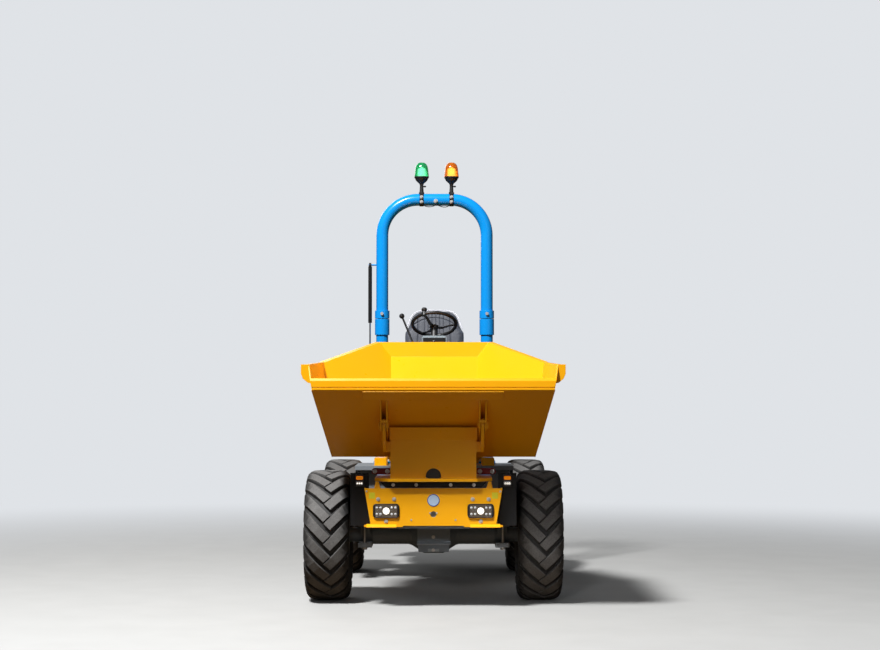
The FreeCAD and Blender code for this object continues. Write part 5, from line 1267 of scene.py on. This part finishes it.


# A lighter copy of the slate paint for the nose ledge, the nose bracket's foot plate and the clamp plates: painted
# light, so that these small parts look lit.
pale_slate = sprayed_paint("pale_slate", (0.34, 0.40, 0.46), (0.50, 0.54, 0.58), edge=0.3, dust=0.2)
front_plates = []
for outline in both_sides([(-0.370, 0.757), (-0.330, 0.757), (-0.344, 0.800), (-0.362, 0.800)]):
    front_plates.append(extruded("gusset", outline, -1.541, -1.5495, yellow))
for x_low, x_high in ((-0.418, -0.229), (0.229, 0.418)):
    front_plates.append(leaning_plate("flange", x_low, x_high, (-1.556, 0.536), (-1.580, 0.519), 0.006, yellow))
front_plates = join("front_gussets", *front_plates)
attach(front_plates, "front")
nose_ledge = leaning_plate("nose_ledge", -0.108, 0.108, (-1.228, 0.404), (-1.250, 0.386), 0.008, pale_slate)
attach(nose_ledge, "front")
nose_plate = extruded("nose_plate", [(-0.036, 0.334), (0.036, 0.334), (0.036, 0.353), (-0.036, 0.353)], -1.228, -1.236,
                      pale_slate)
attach(nose_plate, "front")
# A black sheet set a little behind the tower's face, filling its port with black.
port_rubber = extruded("port_rubber", [(x, 0.856 + z) for x, z in round_rectangle(0.056, 0.037, 0.030)], -1.5600, -1.5648,
                       black_plastic, 0.0)
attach(port_rubber, "turret")
fasten("nose_bolts", hex_bolt(0.0065, 0.006), [(-0.002, -1.2300, 0.428), (-0.002, -1.2360, 0.345)], faces_front, zinc,
       "front")
studs = []
for x in (-0.451, 0.451):
    for y in (-1.028, -0.872):
        studs.append(tube_through("stud", [(x, y, 0.348), (x, y, 0.508)], 0.0092, 16))
        studs[-1].data.materials.append(zinc)
for x_low, x_high in ((-0.494, -0.402), (0.402, 0.494)):
    plate = slab("clamp_plate", (x_low, -1.0495, 0.345), (x_high, -1.0430, 0.3755), 0.0015)
    plate.data.materials.append(pale_slate)
    studs.append(plate)
clamp_studs = join("clamp_studs", *studs)
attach(clamp_studs, "front")
fasten("clamp_nuts", hex_bolt(0.0150, 0.016, 1.5), [(x, y, 0.3462) for x in (-0.451, 0.451) for y in (-1.028, -0.872)],
       faces_down, zinc, "front")

# Dark red brackets beside the turntable: two plates each, with rounded ends and bolts through them.
bracket_low, bracket_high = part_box("slew_brackets")
bracket_pieces = []
for side in (-1, 1):
    near, far = 0.268, bracket_high.x
    lobes = [((near + far) / 2 + x, 0.848 + z) for x, z in round_rectangle((far - near) / 2, 0.0200, 0.0195, 6)]
    outline = [(side * x, z) for x, z in (lobes if side > 0 else lobes[::-1])]
    for back_y in (bracket_low.y + 0.016, bracket_high.y):
        bracket_pieces.append(extruded("lobe", outline, back_y, back_y - 0.016, dark_red, 0.0015))
    for x in (near + 0.030, far - 0.022):
        pin = tube_through("pin", [(side * x, bracket_low.y + 0.001, 0.848), (side * x, bracket_high.y - 0.001, 0.848)],
                           0.0105, 20)
        pin.data.materials.append(zinc)
        bracket_pieces.append(pin)
brackets = join("dressed_brackets", *bracket_pieces)
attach(brackets, "turret")
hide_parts("slew_brackets")
fasten("bracket_bolts", hex_bolt(0.0085, 0.008), mirrored_places(
    (0.298, bracket_low.y, 0.848), (bracket_high.x - 0.022, bracket_low.y, 0.848)), faces_front, zinc, "turret")

# Skip, welded seams and the webs between each pair of ribs, just ahead of the tipping pin.
def weld_bead(name, runs, finish, body, radius=0.0035):
    """Rippled fillets along straight runs, each laid in even steps."""
    beads = []
    for start, end in runs:
        start, end = Vector(start), Vector(end)
        count = max(4, int((end - start).length / 0.006))
        points = [start.lerp(end, k / count) for k in range(count + 1)]
        beads.append(tube_through("bead", points, [radius * (1.0 if k % 2 else 0.82) for k in range(count + 1)], 6))
        beads[-1].data.materials.append(finish)
    seam = join(name, *beads)
    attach(seam, body)


web_pieces = []
for low_x in (0.279, -0.329):
    web = slab("web", (low_x, -1.7575, 1.168), (low_x + 0.050, -1.7500, 1.187), 0.0015)
    web.data.materials.append(yellow)
    web_pieces.append(web)
rib_webs = join("rib_webs", *web_pieces)
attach(rib_webs, "skip")

# Console: black moulded column with a light grey dash cap behind the wheel, two blank dials, a key switch and push
# buttons facing the operator.
finish_nodes(black_plastic, "console")
dash_grey = plain_finish("dash_grey", (0.30, 0.35, 0.38), 0.45, 300.0, 0.12, bump=0.3)
dial_face = plain_finish("dial_face", (0.62, 0.63, 0.62), 0.3, 120.0, 0.05, coat=0.6)
needle_red = plain_finish("needle_red", (0.55, 0.02, 0.01), 0.35, 120.0, 0.05)
dash_cap = slab("dash_cap", (-0.088, -0.046, 1.700), (0.088, 0.066, 1.757), 0.009, 4)
dash_cap.data.materials.append(dash_grey)
dash_lip = slab("dash_lip", (-0.090, -0.048, 1.694), (0.090, 0.068, 1.704), 0.003, 2)
dash_lip.data.materials.append(black_plastic)
dash_pieces = [smooth(dash_cap, 40.0), dash_lip]
for x in (-0.042, 0.042):
    dash_pieces.append(turned("dial_ring", [
        (0.0655, 0.0), (0.0655, 0.0225), (0.0700, 0.0225), (0.0725, 0.0205), (0.0700, 0.0190), (0.0690, 0.0)], 36,
        (x, 0.0, 1.729), "Y", black_plastic))
    dash_pieces.append(turned("dial", [
        (0.0685, 0.0), (0.0685, 0.0188), (0.0697, 0.0188), (0.0697, 0.0)], 36, (x, 0.0, 1.729), "Y", dial_face))
    for step in range(7):
        turn = math.radians(210.0 - 40.0 * step)
        mark_at = Vector((x + 0.0150 * math.cos(turn), 0.0699, 1.729 + 0.0150 * math.sin(turn)))
        tick = slab("tick", mark_at - Vector((0.0006, 0.0002, 0.0020)), mark_at + Vector((0.0006, 0.0002, 0.0020)), 0.0)
        tick.data.materials.append(black_plastic)
        dash_pieces.append(tick)
    needle = tube_through("needle", [(x, 0.0702, 1.729), (x - 0.009, 0.0702, 1.738)], [0.0012, 0.0004], 6)
    needle.data.materials.append(needle_red)
    dash_pieces.append(needle)
for x, radius in ((-0.060, 0.0085), (-0.020, 0.006), (0.020, 0.006), (0.060, 0.006)):
    dash_pieces.append(turned("button", [
        (0.0450, 0.0), (0.0540, radius + 0.0015), (0.0570, radius + 0.0015), (0.0580, radius), (0.0640, radius * 0.9),
        (0.0650, 0.0)], 20, (x, 0.0, 1.655), "Y", zinc if radius > 0.008 else black_plastic))
dash = join("dash", *dash_pieces)
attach(dash, "rear")

# Wheel rims: eight zinc-plated nuts on studs round a hub cap, on the outer face of each wheel.
for wheel, (wheel_x, wheel_y) in tyre_centres.items():
    side = 1 if wheel_x > 0 else -1
    body = "wheel_" + wheel[5:]
    face_x = side * (abs(wheel_x) + 0.0445)
    turns = [math.radians(22.5 + 45.0 * k) for k in range(8)]
    fasten("rim_nuts_" + wheel[5:], hex_bolt(0.0125, 0.018, 1.35), [
        (face_x, wheel_y + 0.1015 * math.cos(turn), axle_height + 0.1015 * math.sin(turn)) for turn in turns],
        faces_left if side > 0 else faces_right, zinc, body)
    cap = turned("hub_cap_" + wheel[5:], [
        (side * 0.064, 0.0), (side * 0.064, 0.058), (side * 0.078, 0.056), (side * 0.084, 0.048), (side * 0.087, 0.020),
        (side * 0.0875, 0.0)], 40, (wheel_x, wheel_y, axle_height), "X", rim_grey)
    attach(cap, body)

# Hoop: a pin through each fold sleeve with a ring clip, and four bolts at each foot.
hoop_x = 0.388
pin_pieces = []
for side in (-1, 1):
    pin_pieces.append(tube_through("hoop_pin", [
        (side * hoop_x, 0.484, 1.936), (side * hoop_x, 0.616, 1.936)], 0.0065, 16))
    pin_pieces.append(turned("hoop_pin_head", [(-0.004, 0.0), (-0.004, 0.0115), (0.004, 0.0115), (0.005, 0.0)], 24,
                             (side * hoop_x, 0.486, 1.936), "Y", zinc))
    ring = [(side * hoop_x + 0.013 * math.cos(math.tau * k / 12), 0.6125, 1.936 + 0.013 * math.sin(math.tau * k / 12) - 0.012)
            for k in range(12)]
    pin_pieces.append(tube_through("hoop_ring", ring, 0.0012, 8))
for piece in pin_pieces:
    piece.data.materials.clear()
    piece.data.materials.append(zinc)
hoop_pins = join("hoop_pins", *pin_pieces)
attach(hoop_pins, "hoop_bow")
fasten("hoop_foot_bolts", hex_bolt(0.0100, 0.012), mirrored_places(
    (0.344, 0.506, 0.846), (0.432, 0.506, 0.846), (0.344, 0.594, 0.846), (0.432, 0.594, 0.846)), faces_up, zinc, "rear")

# Bonnet: pressed louvres on both sides, a rubber latch on each, and a folded handle at the front.
louvres = []
for side in (-1, 1):
    for column in (0.86, 1.06):
        for row in range(6):
            low_z = 0.872 + row * 0.034
            shape = bmesh.new()
            rows = []
            for y, open_ in ((column, 0.15), (column + 0.012, 1.0), (column + 0.148, 1.0), (column + 0.160, 0.15)):
                rows.append([shape.verts.new((side * (0.4195 + out * open_), y, low_z + up)) for out, up in (
                    (0.0, 0.0), (0.0090, 0.001), (0.0105, 0.004), (0.0070, 0.012), (0.0, 0.022))])
            for low, high in zip(rows, rows[1:]):
                for k in range(5):
                    shape.faces.new((low[k], low[(k + 1) % 5], high[(k + 1) % 5], high[k]))
            shape.faces.new(rows[0][::-1])
            shape.faces.new(rows[-1])
            bmesh.ops.recalc_face_normals(shape, faces=shape.faces)
            louvre = smooth(mesh_object("louvre", shape), 50.0)
            louvre.data.materials.append(yellow)
            louvres.append(louvre)
bonnet_louvres = join("bonnet_louvres", *louvres)
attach(bonnet_louvres, "bonnet")
latches = []
for side in (-1, 1):
    x = side * 0.420
    low, high = min(x, x + side * 0.010), max(x, x + side * 0.010)
    latches.append(slab("latch_base", (low, 0.700, 0.800), (high, 0.740, 0.840), 0.003, 2))
    low, high = min(x, x + side * 0.020), max(x, x + side * 0.020)
    latches.append(slab("latch_strap", (low + (0.010 if side > 0 else 0.0), 0.708, 0.775),
                        (high - (0.0 if side > 0 else 0.010), 0.732, 0.835), 0.004, 3))
for x in (-0.085, 0.085):
    latches.append(slab("handle_leg", (x - 0.006, 0.618, 1.112), (x + 0.006, 0.642, 1.124), 0.003, 2))
latches.append(tube_through("handle_bar", [(-0.091, 0.620, 1.118), (0.091, 0.620, 1.118)], 0.0075, 16))
for piece in latches:
    piece.data.materials.clear()
    piece.data.materials.append(black_plastic)
bonnet_latches = join("bonnet_latches", *latches)
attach(bonnet_latches, "bonnet")

# Tanks and tail: straps round each tank, and round reflectors on the weight.
strap_pieces = []
for side in (-1, 1):
    for y in (0.205, 0.405):
        outline = round_rectangle(0.1295, 0.1165, 0.020, 5)
        inside = round_rectangle(0.1265, 0.1135, 0.017, 5)
        centre = (side * 0.4175, 0.680)
        strap = stack_of_outlines("tank_strap", centre, [
            (inside, y - 0.014), (outline, y - 0.014), (outline, y + 0.014), (inside, y + 0.014)], False, False)
        strap.data.materials.append(black_coat)
        strap_pieces.append(strap)
tank_straps = join("tank_straps", *strap_pieces)
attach(tank_straps, "rear")
# The reflectors' red lens is given a faint glow, painted light for the light a reflector sends back; they are no lamps.
reflector_red = lamp_cover("reflector_red", (0.55, 0.01, 0.01), 0.2, 0.05)
reflectors = []
for x in (-0.410, 0.410):
    reflectors.append(turned("reflector", [
        (-0.001, 0.0), (-0.001, 0.030), (0.004, 0.030), (0.006, 0.026), (0.0065, 0.0)], 32,
        (x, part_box("counterweight")[1].y, 0.650), "Y", reflector_red))
tail_reflectors = join("tail_reflectors", *reflectors)
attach(tail_reflectors, "rear")

weld_bead("skip_welds", [
    ((side * 0.6475, -1.312, 0.9455), (side * 0.7380, -1.895, 1.3700)) for side in (-1, 1)], yellow, "skip")
weld_bead("tower_welds", [((-0.268, -1.5755, 0.8205), (-0.052, -1.5755, 0.8205)),
                          ((0.052, -1.5755, 0.8205), (0.268, -1.5755, 0.8205))], yellow, "turret")
weld_bead("hoop_welds", [((side * 0.388 + 0.0455 * math.cos(a), 0.55 + 0.0455 * math.sin(a), 0.8475),
                          (side * 0.388 + 0.0455 * math.cos(a + 0.42), 0.55 + 0.0455 * math.sin(a + 0.42), 0.8475))
                         for side in (-1, 1) for a in [math.tau * k / 15 for k in range(15)]], hoop_blue, "rear")
